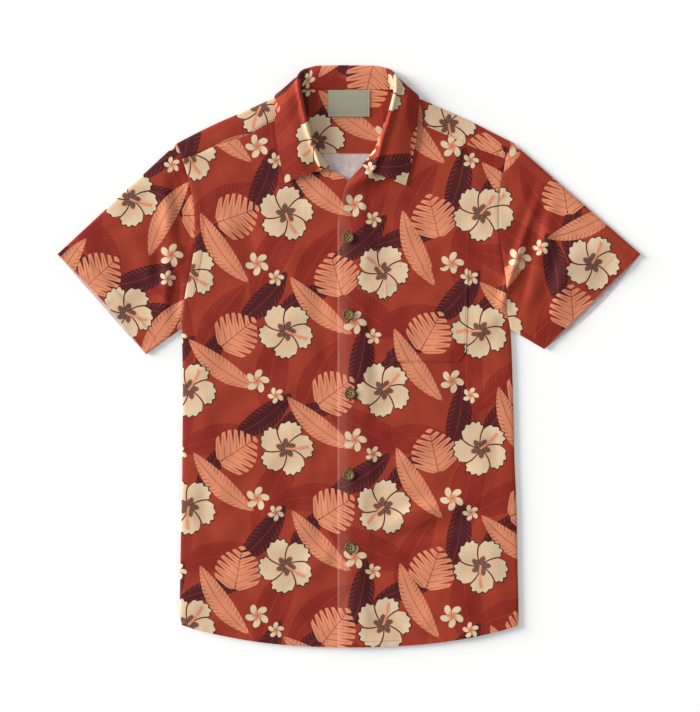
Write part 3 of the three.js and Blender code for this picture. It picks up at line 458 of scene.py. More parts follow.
def make_wall(name, patches, thickness, materials):
    """A closed wall of cloth. The first material is its right side and rim, the last its wrong side."""
    points, cloth, faces = joined_patches(patches)
    normals = vertex_normals(points, faces)
    face, corner = open_edges(faces).T
    start, end = faces[face, corner], faces[face, (corner + 1) % 4]
    rim = np.unique(start)
    upright = rim[edge_distance(points[rim, :2]) < ON_EDGE]
    normals[upright, 2] = 0
    normals /= np.linalg.norm(normals, axis=1, keepdims=True)
    count = len(points)
    corners = np.vstack([points + normals * thickness / 2, points - normals * thickness / 2])
    rim_faces = np.stack([end, start, start + count, end + count], axis=-1)
    start_cloth, end_cloth = cloth[face, corner], cloth[face, (corner + 1) % 4]
    all_cloth = np.concatenate([cloth, cloth[:, ::-1],
                                np.stack([end_cloth, start_cloth, start_cloth, end_cloth], axis=1)])
    all_faces = np.vstack([faces, faces[:, ::-1] + count, rim_faces])

    mesh = bpy.data.meshes.new(f"{name}_cloth")
    mesh.from_pydata((corners * MM).tolist(), [], all_faces.tolist())
    mesh.uv_layers.new(name="cloth").data.foreach_set("uv", (all_cloth * MM).ravel())
    for material in materials:
        mesh.materials.append(material)
    if len(materials) > 1:
        sides = np.zeros(len(all_faces), int)
        sides[len(faces):2 * len(faces)] = 1
        mesh.polygons.foreach_set("material_index", sides)
    mesh.shade_smooth()
    mesh.set_sharp_from_angle(angle=SHARP_RIM)
    return placed(mesh.name, mesh)


def placed(name, data):
    """A new object with this data, in the scene."""
    made = bpy.data.objects.new(name, data)
    bpy.context.scene.collection.objects.link(made)
    return made


def settle(piece, node):
    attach(piece, BODY)
    if node:
        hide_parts(node)
    return piece


def size_mm(name):
    return getattr(bpy.context.scene.shirt_sizes, name) / MM


def colours():
    return bpy.context.scene.shirt_colours


def steps_for(length):
    return max(2, round(length / size_mm("step")))


def lifted(plan, height):
    return np.concatenate([plan, height[..., None]], axis=-1)


def coons(start, end, bottom, top):
    up = ((start[:, 1] - start[0, 1]) / (start[-1, 1] - start[0, 1]))[:, None, None]
    reach = reach_along(bottom)
    across = (reach / reach[-1])[None, :, None]
    corners = lerp(lerp(bottom[0], bottom[-1], across), lerp(top[0], top[-1], across), up)
    plan = lerp(bottom[None], top[None], up) + lerp(start[:, None], end[:, None], across) - corners
    plan[0], plan[-1], plan[:, 0], plan[:, -1] = bottom, top, start, end
    return plan


def hem_points(x):
    out = np.abs((x - HEM_CENTRE) / HEM_HALF)
    return np.stack([x, HEM_LOWEST + HEM_RISE * out ** HEM_POWER], axis=-1)


def front_parts(side):
    """Columns of a front as parts of its width, close together at the side fold, and where the neck begins."""
    width = abs(FRONT_EDGE[side][0][0] - SIDE[side][0][0])
    fold = FOLD_REACH / width
    neck = lerp(fold, 1, FRONT_NECK_PART)
    even = [np.linspace(start, end, steps_for((end - start) * width) + 1)
            for start, end in ((fold, neck), (neck, 1))]
    return np.concatenate([FOLD_STEPS[:-1] / width, even[0][:-1], even[1]]), neck


def armhole_parts(side, top_part):
    length = armhole_line[side].length
    fold = FOLD_REACH / length
    even = np.linspace(fold, top_part, steps_for((top_part - fold) * length) + 1)
    return np.concatenate([FOLD_STEPS[:-1] / length, even])


def body_side(side, top_part):
    rows = side_line[side].at(np.linspace(0, 1, steps_for(side_line[side].length) + 1)[:-1])
    return np.vstack([rows, armhole_line[side].at(armhole_parts(side, top_part))])


def front_plan(side):
    parts, neck = front_parts(side)
    start = body_side(side, armhole_line[side].part_at_y(YOKE_SEAM[side][0][1]))
    bottom = hem_points(lerp(start[0, 0], FRONT_EDGE[side][0][0], parts))
    bottom[0] = start[0]
    on_yoke = parts <= neck + 1e-9
    top = np.vstack([yoke_line[side].at(parts[on_yoke] / neck),
                     neckline[side].at((parts[~on_yoke] - neck) / (1 - neck))])
    rise = (start[:, 1] - start[0, 1]) / (start[-1, 1] - start[0, 1])
    end = edge_line[side].at(rise)
    start[-1], end[0], end[-1] = top[0], bottom[-1], top[-1]
    return coons(start, end, bottom, top)


def patch(plan, height, cloth, up):
    points = lifted(plan, height)
    flat = points.reshape(-1, 3)
    return flat, cloth.reshape(-1, 2), turned(flat, grid_faces(*plan.shape[:2]), up)


# Shader graphs

OBJECT_SPACE = 3


class Wire:
    """An output socket. Operators on it add Math nodes, so a pattern reads as an expression."""

    def __init__(self, graph, socket):
        self.graph = graph
        self.socket = socket

    def maths(self, operation, *values, clamp=False):
        return self.graph.node("ShaderNodeMath", {"operation": operation, "use_clamp": clamp},
                               {index: value for index, value in enumerate(values)})

    def __abs__(self):
        return self.maths("ABSOLUTE", self)

    def __neg__(self):
        return self.maths("MULTIPLY", self, -1)

    def call(self, operation, *others):
        return self.maths(operation, self, *others)

    def edge(self, softness=0.35):
        """1 where the value is above nothing and 0 below, with a soft step."""
        return self.maths("MULTIPLY_ADD", self, 1 / softness, 0.5, clamp=True)


def sum_method(operation, swapped):
    """A method of Wire for one sign of arithmetic, with the wire before or after the sign."""
    def method(self, other):
        return self.maths(operation, other, self) if swapped else self.maths(operation, self, other)
    return method


for sign, node_operation in (("add", "ADD"), ("sub", "SUBTRACT"), ("mul", "MULTIPLY"), ("truediv", "DIVIDE"),
                             ("pow", "POWER")):
    setattr(Wire, f"__{sign}__", sum_method(node_operation, False))
    setattr(Wire, f"__r{sign}__", sum_method(node_operation, True))


class Graph:
    """The nodes of one material."""

    def __init__(self, name):
        self.material = bpy.data.materials.new(name)
        self.material.use_nodes = True
        self.tree = self.material.node_tree
        self.tree.nodes.clear()

    def node(self, kind, settings=None, inputs=None, output=0):
        made = self.tree.nodes.new(kind)
        for key, value in (settings or {}).items():
            if key == "stops":
                for stop, (place, tint) in zip(self.stops_of(made, len(value)), value):
                    stop.position = place
                    stop.color = (*tint, 1)
            else:
                setattr(made, key, value)
        for key, value in (inputs or {}).items():
            if isinstance(value, Wire):
                self.tree.links.new(value.socket, made.inputs[key])
            else:
                made.inputs[key].default_value = value
        return Wire(self, made.outputs[output])

    @staticmethod
    def stops_of(ramp, count):
        elements = ramp.color_ramp.elements
        while len(elements) < count:
            elements.new(1)
        return elements

    def mix(self, below, above, factor):
        solid = [(*value, 1) if isinstance(value, tuple) else value for value in (below, above)]
        return self.node("ShaderNodeMix", {"data_type": "RGBA"}, {0: factor, 6: solid[0], 7: solid[1]}, 2)

    def finish(self, bump=None, distance=0.0002, strength=0.5, **inputs):
        if bump is not None:
            inputs["Normal"] = self.node("ShaderNodeBump", None,
                                         {"Strength": strength, "Distance": distance, "Height": bump})
        shader = self.node("ShaderNodeBsdfPrincipled", None,
                           {key.replace("_", " "): value for key, value in inputs.items()})
        output = self.tree.nodes.new("ShaderNodeOutputMaterial")
        self.tree.links.new(shader.socket, output.inputs[0])
        return self.material

    def cloth_place(self):
        """The cloth's own coordinates across and along the piece, in mm."""
        place = self.node("ShaderNodeUVMap", {"uv_map": "cloth"})
        scaled = self.node("ShaderNodeVectorMath", {"operation": "SCALE"}, {0: place, 3: 1 / MM})
        return [self.node("ShaderNodeSeparateXYZ", None, {0: scaled}, axis) for axis in (0, 1)]

    def noise(self, x, y, size, detail=2):
        place = self.node("ShaderNodeCombineXYZ", None, {0: x / size, 1: y / size})
        return self.node("ShaderNodeTexNoise", None, {"Vector": place, "Scale": 1.0, "Detail": detail})

    def speckle(self, scale, detail=2.0):
        """Noise in the object's own space, for things that aren't cloth."""
        place = self.node("ShaderNodeTexCoord", None, None, OBJECT_SPACE)
        return self.node("ShaderNodeTexNoise", None, {"Vector": place, "Scale": scale, "Detail": detail})


def made_once(build):
    """Turns a function that wires a graph into one that finds the material by name, or builds it."""
    def find(name, *parts):
        return bpy.data.materials.get(name) or build(Graph(name), *parts)
    return find


# The print: a generic tropical pattern of flowers and leaves in a half-drop repeat

CELL = (136, 164)


def lattice(graph, x, y, shift, spin, base):
    """Coordinates in the nearest cell of the half-drop repeat, turned by its own angle."""
    across = (x + shift[0]) / CELL[0]
    column = across.call("FLOOR")
    drop = column.call("FLOORED_MODULO", 2) * 0.5
    along = (y + shift[1]) / CELL[1] + drop
    row = along.call("FLOOR")
    chance = graph.node("ShaderNodeTexWhiteNoise", {"noise_dimensions": "2D"}, {
        "Vector": graph.node("ShaderNodeCombineXYZ", None, {0: column + shift[0], 1: row + shift[1]})})
    angle = (chance - 0.5) * (2 * spin) + base
    local_x = (across - column - 0.5) * CELL[0]
    local_y = (along - row - 0.5) * CELL[1]
    cosine, sine = angle.call("COSINE"), angle.call("SINE")
    return local_x * cosine + local_y * sine, local_y * cosine - local_x * sine


def polar(x, y):
    return (x * x + y * y).call("SQRT"), y.call("ARCTAN2", x)


def flower(x, y, radius, twist=0.4, ruffle=0.035):
    """Five ruffled petals: the petals, their veins, the throat, the stamen and a rim round the whole."""
    reach, angle = polar(x, y)
    out = reach / radius
    turn = angle * (5 / (2 * math.pi)) + out * twist
    petal = turn.call("FRACT") - 0.5
    across = abs(petal) * 2
    wave = (turn * (2 * math.pi * 5)).call("SINE") * ruffle
    outline = (1 - across ** 2.6).call("MAXIMUM", 0).call("SQRT") * 0.42 + 0.56 + wave
    inward = (outline - out) * radius
    petals = inward.edge(0.6)
    between = ((1 - across) * reach * (math.pi / 5) - 0.75 - out * 0.5).edge(0.5)
    ribs = ((petal * 9).call("FRACT") - 0.5)
    veins = (0.16 - abs(ribs) - out * 0.14).edge(0.08) * (out - 0.2).edge(0.1)
    throat = (0.30 - out + (petal * (2 * math.pi)).call("COSINE") * 0.08).edge(0.06)
    bent = y - x * x * (0.22 / radius)
    stem = (1.5 - abs(bent)).edge(0.4) * (x + 1).edge(0.5) * (radius * 0.8 - x).edge(0.5)
    beads = (((x * 0.42).call("FRACT") - 0.5) * ((bent * 0.42 + 0.25).call("FRACT") - 0.5))
    tip = (3.4 - abs(bent)).edge(0.5) * (x - radius * 0.46).edge(0.5)
    tip = tip * (radius * 0.84 - x).edge(0.5) * beads.edge(0.06)
    return petals * between, veins, throat, stem.call("MAXIMUM", tip) * petals, (inward + 1.8).edge(0.6)


def split_leaf(x, y, radius):
    """A broad heart-shaped leaf, split from its edge between the side ribs: the leaf and its ribs."""
    up = y + radius * 0.72
    reach, angle = polar(up, x)
    point = (1 - abs(angle) * 2.6).call("MAXIMUM", 0)
    outline = (angle.call("COSINE") * 0.62 + 0.86 + point * point * 0.22) * radius
    out = reach / outline
    pitch = radius * 0.31
    slant = (up - abs(x) * 0.55) / pitch
    near = abs(slant.call("FRACT") - 0.5) * pitch
    cut = near - (out - 0.5) * (radius * 0.15)
    leaf = (outline - reach).edge(0.6) * cut.edge(0.5) * (slant + 1.6).edge(0.05)
    side = (0.42 - (pitch * 0.5 - near)).edge(0.35)
    ribs = (0.62 - abs(x)).edge(0.4).call("MAXIMUM", side) * (0.86 - out).edge(0.08)
    return leaf, ribs


def long_leaf(x, y, length, width):
    """A long leaf with torn edges: the leaf and its ribs."""
    bent = x - y * y * (0.25 / length)
    part = (y / length + 0.5).call("MAXIMUM", 0).call("MINIMUM", 1)
    half = (part * math.pi).call("SINE").call("MAXIMUM", 0) ** 0.8 * (width / 2)
    slant = ((y - abs(bent) * 0.8) * (1 / 6.5))
    tear = (slant.call("FRACT") - 0.13).edge(0.04).call("MAXIMUM", (half * 0.55 - abs(bent)).edge(0.5))
    leaf = (half - abs(bent)).edge(0.5) * tear
    side = (0.09 - abs((slant * 2).call("FRACT") - 0.5)).edge(0.05) * 0.5
    return leaf, (0.6 - abs(bent)).edge(0.4).call("MAXIMUM", side)


def blossom(x, y, radius):
    """A small flower of five pointed petals that turn like a windmill: the petals and their heart."""
    reach, angle = polar(x, y)
    out = reach / radius
    petal = (angle * (5 / (2 * math.pi)) + out * 0.32).call("FRACT")
    outline = (petal * math.pi).call("SINE") ** 0.55
    petals = ((outline - out) * radius).edge(0.6) * ((0.5 - abs(petal - 0.5)) * reach * 1.25 - 0.35).edge(0.4)
    return petals, (0.46 - out - petal * 0.2).edge(0.2)


# The long leaves from the back to the front: place in the repeat, spread and middle of their turns, length,
# width, colour, how much of it shows and how far the ribs break it

LONG_LEAVES = (
    ((20, 60), 0.9, 0.4, 150, 46, "ground_deep", 0.85, 1),
    ((96, 150), 0.9, -1.3, 132, 40, "ground_deep", 0.85, 1),
    ((108, 34), 0.5, -0.9, 100, 27, "maroon", 1, 0.55),
    ((30, 122), 0.5, 2.5, 104, 34, "maroon", 1, 0.55),
    ((92, 52), 0.35, 0.75, 118, 30, "peach", 1, 0.65),
)
ALL_ROUND = 3.1
BLOSSOMS = (((40, 70), 0, 0.44), ((14, 90), 0.8, 0.3))


def motif_layers(graph, x, y):
    """The print's layers from the ground up: each a colour and how much of it shows."""
    tint = {name: tuple(getattr(colours(), name)) for name in ("ground_deep", "cream", "peach", "maroon")}
    cream, peach, maroon = tint["cream"], tint["peach"], tint["maroon"]
    radius = size_mm("motif")

    yield tint["ground_deep"], (graph.noise(x, y, 60) * 2.4 - 0.8).call("MAXIMUM", 0) * 0.5
    for shift, spin, base, length, width, name, shows, ribbed in LONG_LEAVES:
        leaf, ribs = long_leaf(*lattice(graph, x, y, shift, spin, base), length, width)
        yield tint[name], leaf * (1 - ribs * ribbed) * shows
    leaf, ribs = split_leaf(*lattice(graph, x, y, (66, 2), 0.8, -0.5), radius * 0.84)
    yield peach, leaf * (1 - ribs * 0.8)
    for shift, base, share in BLOSSOMS:
        petals, heart = blossom(*lattice(graph, x, y, shift, ALL_ROUND, base), radius * share)
        yield cream, petals
        yield peach, petals * heart

    flower_x, flower_y = lattice(graph, x, y, (0, 0), ALL_ROUND, 0)
    out = polar(flower_x, flower_y)[0] / radius
    petals, veins, throat, stamen, rim = flower(flower_x, flower_y, radius)
    yield maroon, rim
    yield cream, petals
    yield peach, petals * (veins * 0.6 + (0.8 - out).call("MAXIMUM", 0) * 0.5)
    yield maroon, petals * throat * 0.85
    yield peach, stamen


def print_colours(graph, x, y):
    face = tuple(colours().ground)
    for tint, amount in motif_layers(graph, x, y):
        face = graph.mix(face, tint, amount)
    return face


def weave(graph, x, y, pitch=0.55):
    warp = abs((x * (1 / pitch)).call("FRACT") - 0.5)
    weft = abs((y * (1 / pitch)).call("FRACT") - 0.5)
    return warp + weft


# Painted highlight: a pale tint mixed into the print along the lapping edge, in place of light on its roll and
# topstitch groove.
PAINTED_EDGE_HIGHLIGHT_TINT = (0.85, 0.55, 0.45)
PAINTED_HIGHLIGHT_LINE, PAINTED_HIGHLIGHT_LINE_WIDTH = 0.2, 2.6
PAINTED_HIGHLIGHT_STRIP, PAINTED_HIGHLIGHT_BEYOND, PAINTED_HIGHLIGHT_REACH = 0.05, 0.09, 22


def painted_edge_highlight(graph, face, inward):
    """A painted highlight along the lapping edge: palest on the edge, then up to the topstitching and a little
    beyond.
    """
    line = (1 - inward / PAINTED_HIGHLIGHT_LINE_WIDTH).call("MAXIMUM", 0) * PAINTED_HIGHLIGHT_LINE
    strip = (TOPSTITCH_INSET - inward).edge(0.8) * PAINTED_HIGHLIGHT_STRIP
    fading = (1 - inward / PAINTED_HIGHLIGHT_REACH).call("MAXIMUM", 0) * PAINTED_HIGHLIGHT_BEYOND
    return graph.mix(face, PAINTED_EDGE_HIGHLIGHT_TINT, line + strip + (inward - TOPSTITCH_INSET).edge(1.2) * fading)


@made_once
def print_material(graph, highlight_edge=None):
    """The right side of the cloth, with a painted highlight along an edge this far across it if one is given."""
    x, y = graph.cloth_place()
    face = print_colours(graph, x, y)
    if highlight_edge is not None:
        # Painted highlight along the lapping edge.
        face = painted_edge_highlight(graph, face, x - highlight_edge)
    slub = graph.noise(x, y * 6, 5)
    face = graph.mix(face, (0.02, 0.005, 0.004), (slub - 0.35) * 0.16)
    crease = graph.noise(x, y, 9, 3)
    return graph.finish(bump=weave(graph, x, y) * 0.18 + crease * 1.6, distance=0.0005, strength=0.35,
                        Base_Color=face, Roughness=slub * 0.12 + 0.66, Sheen_Weight=0.02, Sheen_Roughness=0.4,
                        Specular_IOR_Level=0.14)


@made_once
def reverse_material(graph):
    """The pale wrong side, with the print showing through."""
    x, y = graph.cloth_place()
    face = graph.mix(tuple(colours().reverse), print_colours(graph, -x, y), 0.2)
    crease = graph.noise(x, y, 8, 4)
    face = graph.mix(face, (0.30, 0.22, 0.22), (crease - 0.4) * 0.5)
    return graph.finish(bump=weave(graph, x, y) * 0.2 + crease * 2.4, distance=0.0006, strength=0.5,
                        Base_Color=face, Roughness=crease * 0.1 + 0.78, Sheen_Weight=0.1)


@made_once
def thread_material(graph, base=None):
    tone = graph.speckle(900.0)
    base = base or tuple(colours().thread)
    face = graph.mix(base, tuple(0.6 * value for value in base), tone)
    return graph.finish(bump=tone, distance=0.0001, Base_Color=face, Roughness=tone * 0.2 + 0.45)


@made_once
def label_material(graph):
    x, y = graph.cloth_place()
    twill = ((x + y) * (1 / 0.7)).call("FRACT")
    rows = abs((y * (1 / 0.9)).call("FRACT") - 0.5)
    base = tuple(colours().label)
    tone = graph.noise(x, y * 4, 6)
    face = graph.mix(base, tuple(0.78 * value for value in base), rows * 0.7 + tone * 0.3)
    return graph.finish(bump=twill + rows, distance=0.0002, Base_Color=face, Roughness=tone * 0.15 + 0.48,
                        Sheen_Weight=0.2)


FLECK_TINT = (0.42, 0.33, 0.18)
BUTTON_BAND = 4.9


@made_once
def button_material(graph):
    """Mottled shell with a dark, streaked rim."""
    reach, angle = polar(*graph.cloth_place())
    mottle, fleck = graph.speckle(260.0, 4.0), graph.speckle(1500.0)
    face, rim = tuple(colours().button_face), tuple(colours().button_rim)
    spokes = graph.noise(angle * 9, reach * 0.6, 1, 3)
    tone = graph.mix(face, tuple(0.4 * value for value in face), (mottle - 0.35) * 1.8)
    band = (reach - BUTTON_BAND + (mottle - 0.5) * 2).edge(1.2)
    tone = graph.mix(tone, rim, band * (spokes * 3.2 - 0.75).call("MINIMUM", 1).call("MAXIMUM", 0.25))
    tone = graph.mix(tone, FLECK_TINT, (fleck - 0.6).edge(0.1) * 0.35)
    return graph.finish(bump=mottle + fleck * 0.4, distance=0.00015, Base_Color=tone,
                        Roughness=mottle * 0.2 + 0.45, Specular_IOR_Level=0.3, Coat_Weight=0.05)


@made_once
def floor_material(graph):
    grain = graph.speckle(40.0)
    base = tuple(colours().floor)
    return graph.finish(Base_Color=graph.mix(base, tuple(0.99 * value for value in base), grain),
                        Roughness=grain * 0.1 + 0.8, Specular_IOR_Level=0.1, Emission_Color=(1, 1, 1, 1),
                        Emission_Strength=0.105)


# Pieces of cloth

PRINT_SHIFT = (20, -35)
BACK_SHIFT = (61, 17)


def shifted(plan, extra=(0, 0)):
    return plan + np.array(PRINT_SHIFT) + np.array(extra)


def turned_cloth(plan, origin, degrees, shift):
    angle = math.radians(degrees)
    offset = plan - np.array(origin)
    x = offset[..., 0] * math.cos(angle) + offset[..., 1] * math.sin(angle)
    y = offset[..., 1] * math.cos(angle) - offset[..., 0] * math.sin(angle)
    return np.stack([x + shift[0], y + shift[1]], axis=-1)


def mirrored(plan, start, end):
    """Plan points reflected across the line from start to end: the cloth unrolled over a fold."""
    start, along = np.array(start, float), np.array(end, float) - np.array(start, float)
    along /= np.linalg.norm(along)
    offset = plan - start
    parallel = (offset @ along)[..., None] * along
    return start + 2 * parallel - offset


def make_cloth(name, patches, face=None, lined=True, thickness="cloth"):
    """A wall of printed cloth in place of the solid of this name. Lined ones have the pale wrong side."""
    materials = [face or print_material("printed_cloth")] + [reverse_material("wrong_side")] * lined
    return settle(make_wall(name, patches, size_mm(thickness), materials), name)


def make_front(side, name):
    plan = front_plan(side)
    height = upper_height(plan) if side == "left" else over_height(plan)
    height += hem_relief(plan) + felled_strip(plan, side)
    face = None
    # The lapping front's print carries a painted highlight along its edge.
    if side == "right":
        face = print_material("printed_front", PRINT_SHIFT[0] + FRONT_EDGE[side][0][0])
    return make_cloth(name, [patch(plan, height, shifted(plan), True)], face)


HEM_WIDTH, HEM_STEP, HEM_GROOVE = 8, 0.35, 0.3


def hem_relief(plan):
    """The turned-up hem stands a little proud and its stitching draws it in."""
    hem = hem_points(np.linspace(-235, 238, 80))
    gap, where = distance_to(plan, hem)
    ripple = 0.22 * np.sin(where * 190 + 2 * np.sin(where * 23)) * np.exp(-gap / 9)
    return (HEM_STEP * smooth((HEM_WIDTH + 1 - gap) / 1.6)
            - HEM_GROOVE * np.exp(-((gap - HEM_WIDTH) / 1.1) ** 2) + ripple * smooth((40 - gap) / 20))


def back_seam(side):
    parts, neck = front_parts(side)
    own = parts[parts <= neck + 1e-9] / neck
    outer = armhole_line[side].at(armhole_line[side].part_at_y(BACK_YOKE_SEAM_Y))
    x = lerp(outer[0], BACK_SEAM_BELOW_NECK[side], own)
    return own, np.stack([x, np.full_like(x, BACK_YOKE_SEAM_Y)], axis=-1)


def back_columns():
    """Where the yoke seam runs on the back, and the shoulder or neck point above each place on it."""
    left_parts, left = back_seam("left")
    right_parts, right = back_seam("right")
    between = np.linspace(0, 1, 28)[1:-1]
    ends = BACK_SEAM_BELOW_NECK
    middle_x = lerp(ends["left"], ends["right"], between)
    middle = np.stack([middle_x, np.full_like(middle_x, BACK_YOKE_SEAM_Y)], axis=-1)
    seam = np.vstack([left, middle, right[::-1]])
    tops = np.vstack([shoulder_line["left"].at(left_parts), neck_back_line.at(between),
                      shoulder_line["right"].at(right_parts)[::-1]])
    return seam, tops


def make_back():
    seam, _ = back_columns()
    start, end = (body_side(side, armhole_line[side].part_at_y(BACK_YOKE_SEAM_Y)) for side in SIDES)
    count = max(len(start), len(end))
    start, end = (resampled(rows, count) for rows in (start, end))
    parts = (seam[:, 0] - seam[0, 0]) / (seam[-1, 0] - seam[0, 0])
    bottom = hem_points(lerp(start[0, 0], end[0, 0], parts))
    bottom[0], bottom[-1] = start[0], end[0]
    start[-1], end[-1] = seam[0], seam[-1]
    plan = coons(start, end, bottom, seam)
    cloth = shifted(plan * (-1, 1), BACK_SHIFT)
    return make_cloth("back", [patch(plan, lower_height(plan), cloth, False)])


def resampled(rows, count):
    places = np.linspace(0, 1, len(rows))
    return np.stack([np.interp(np.linspace(0, 1, count), places, axis) for axis in rows.T], axis=-1)


def rows_to_fold(low, top, between):
    """Rows from a seam up to a fold, close together near the fold."""
    length = np.linalg.norm(top - low, axis=-1)
    even = np.linspace(0, 1, between + 1)[:-1, None] * (length - FOLD_REACH)
    near = length - FOLD_STEPS[::-1][:, None]
    parts = np.vstack([even, near]) / length
    return low + parts[..., None] * (top - low)


def make_yoke():
    seam, tops = back_columns()
    plan = rows_to_fold(seam, tops, 14)
    patches = [patch(plan, lower_height(plan), shifted(plan * (-1, 1), BACK_SHIFT), False)]
    for side in SIDES:
        parts, neck = front_parts(side)
        own = parts[parts <= neck + 1e-9] / neck
        plan = rows_to_fold(yoke_line[side].at(own), shoulder_line[side].at(own), 6)
        plan[:, 0] = armhole_line[side].at(np.interp(
            np.linspace(0, 1, len(plan)), [0, 1], [armhole_line[side].part_at_y(YOKE_SEAM[side][0][1]), 1]))
        unrolled = mirrored(plan, SHOULDER[side][0], SHOULDER[side][-1])
        height = upper_height(plan)
        height[-1] = lower_height(plan[-1])
        patches.append(patch(plan, height, shifted(unrolled * (-1, 1), BACK_SHIFT), True))
    return make_cloth("yoke_outer", patches)


def make_inner_yoke():
    size = INNER_YOKE
    rows = np.linspace(0, 1, 26)[:, None]
    x = np.linspace(size["left"], size["right"], 36)
    part = (x - size["left"]) / (size["right"] - size["left"])
    top = size["top_side"] + (size["top_middle"] - size["top_side"]) * np.sin(math.pi * part) ** 0.7
    plan = np.stack([x + 0 * rows, size["bottom"] + rows * (top - size["bottom"])], axis=-1)
    tucked = smooth((top - INNER_YOKE_TUCKED / 2 + 3 - plan[..., 1]) / INNER_YOKE_TUCKED)
    height = lower_height(plan) + lerp(INNER_YOKE_TUCK, SOLID_CLOTH + 0.3 + 0.35 * rumple(plan * 1.6), tucked)
    height -= 0.25 * np.exp(-((plan[..., 1] - size["bottom"] - 3) / 1.2) ** 2)
    return make_cloth("yoke_inner", [patch(plan, height, shifted(plan, (-44, 63)), True)], lined=False)


def cuff_points(side, distances, bulge):
    length = armhole_line[side].length
    under, top = (np.array(CUFF[side][key]) for key in ("under", "top"))
    width = np.linalg.norm(top - under)
    even = (distances - FOLD_REACH) / (length - 2 * FOLD_REACH)
    near = np.where(distances < FOLD_REACH, distances, lerp(FOLD_REACH, width - FOLD_REACH, even))
    near = np.where(length - distances < FOLD_REACH, width - (length - distances), near)
    part = (near / width)[:, None]
    away = np.array([top[1] - under[1], under[0] - top[0]]) / width
    away = away if away[0] * top[0] > 0 else -away
    return lerp(under, top, part) + away * bulge * 4 * part * (1 - part)


SLEEVE_HEM = 24
SLEEVE_GRAIN, SLEEVE_SHIFT = {"left": 14, "right": -14}, (31, 12)
CUFF_SETTLE, CUFF_SETTLE_REACH = 1.7, 45


def sleeve_relief(plan, cuff):
    """The sleeve's hem and its stitching, and how the cloth settles towards the cuff."""
    gap, where = distance_to(plan, cuff)
    ripple = 0.25 * np.sin(where * 70 + 2 * np.sin(where * 11)) * np.exp(-gap / 12)
    return (ripple - 0.35 * np.exp(-((gap - SLEEVE_HEM) / 1.3) ** 2) + 0.3 * smooth((SLEEVE_HEM + 1 - gap) / 2)
            - CUFF_SETTLE * smooth(1 - gap / CUFF_SETTLE_REACH))


def make_sleeve(side):
    line = armhole_line[side]
    even = np.linspace(FOLD_REACH, line.length - FOLD_REACH, steps_for(line.length) + 1)
    distances = np.concatenate([FOLD_STEPS[:-1], even, line.length - FOLD_STEPS[-2::-1]])
    shoulder, tip = line.at(1), np.array(CUFF[side]["top"])
    reach = np.linalg.norm(tip - shoulder)
    rows = np.linspace(0, 1, steps_for(reach) + 1)[:, None, None]
    grain = 90 - math.degrees(math.atan2(*(shoulder - tip)[::-1])) + SLEEVE_GRAIN[side]
    patches = []
    for layer, up in (("front", True), ("back", False)):
        cuff = cuff_points(side, distances, CUFF[side][layer])
        plan = lerp(line.at(distances / line.length)[None], cuff[None], rows)
        if up:
            height = upper_height(plan) + sleeve_relief(plan, cuff) * smooth(edge_distance(plan) / 8)
            height[:, [0, -1]] = lower_height(plan[:, [0, -1]])
            unrolled = plan
        else:
            height = lower_height(plan)
            unrolled = mirrored(plan, shoulder, tip)
        patches.append(patch(plan, height, turned_cloth(unrolled, shoulder, -grain, SLEEVE_SHIFT), up))
    return make_cloth(f"sleeve_{side}", patches)


def collar_grid(across=46, between=7):
    """Points over the collar: rows from its seam over the roll to the free edge, columns along it."""
    rows = np.array([*COLLAR["left"][::-1], *COLLAR["right"]], float)
    sections = []
    for index, row in enumerate(rows):
        seam, roll, tilt, bend, edge = row[:2], row[2:5], row[5], row[6:9].copy(), row[9:12].copy()
        before, after = rows[max(0, index - 1), 2:4], rows[min(len(rows) - 1, index + 1), 2:4]
        out = np.array([before[1] - after[1], after[0] - before[0], 0])
        out /= np.linalg.norm(out)
        angle = math.radians(tilt)
        crown = out * math.cos(angle) + np.array([0, 0, math.sin(angle)])
        over = out * math.sin(angle) - np.array([0, 0, math.cos(angle)])
        depth, half = lerp(5.5, 3.2, tilt / 90), lerp(2.7, 3.4, tilt / 90)
        on_top = plain_height if seam[0] < 0 else plain_over_height
        stand = lerp(lower_height(seam) + COLLAR_ON_YOKE, on_top(seam) + SEAM_STAND, smooth(tilt / 60))
        for spot in (bend, edge):
            if spot[2] >= HALF_LOFT + COLLAR_LIFT:
                spot[2] = max(spot[2], on_top(spot[:2]) + FREE_EDGE_CLEAR)
        knots = [(*seam, stand), roll - crown * depth - over * half, roll, roll - crown * depth + over * half,
                 bend, edge]
        sections.append(Line(knots).at(np.linspace(0, 1, across)))
    sections = np.array(sections)
    grid = np.stack([spline(sections[:, row], between) for row in range(across)])
    grid[..., 2] = np.maximum(grid[..., 2], COLLAR_LOWEST)
    return grid


def plain_height(points):
    """The upper layer without its small relief, as the solids have it."""
    points = np.asarray(points, float)
    edge = edge_distance(points)
    soft = fold_sum(points, FOLDS) * smooth((edge - 2) / 26) * smooth((np.abs(points[..., 0] + 1) - 18) / 12)
    return SOLID_CLOTH / 2 + HALF_LOFT * (1 + fullness(edge)) + collar_lift(points) + soft


def plain_over_height(points):
    points = np.asarray(points, float)
    extra = over_height(points) - upper_height(points)
    return plain_height(points) + extra


COLLAR_SHIFT = (30, 250)


def make_collar():
    grid = collar_grid()
    down = np.linalg.norm(np.diff(grid, axis=0), axis=-1).mean(axis=1)
    u = reach_along(grid[len(grid) // 2])
    v = np.concatenate([[0], np.cumsum(down)])
    cloth = np.stack(np.meshgrid(u + COLLAR_SHIFT[0], COLLAR_SHIFT[1] - v), axis=-1)
    faces = grid_faces(*grid.shape[:2])[:, ::-1]
    whole = (grid.reshape(-1, 3), cloth.reshape(-1, 2), faces)
    return make_cloth("collar", [whole], lined=False, thickness="collar")


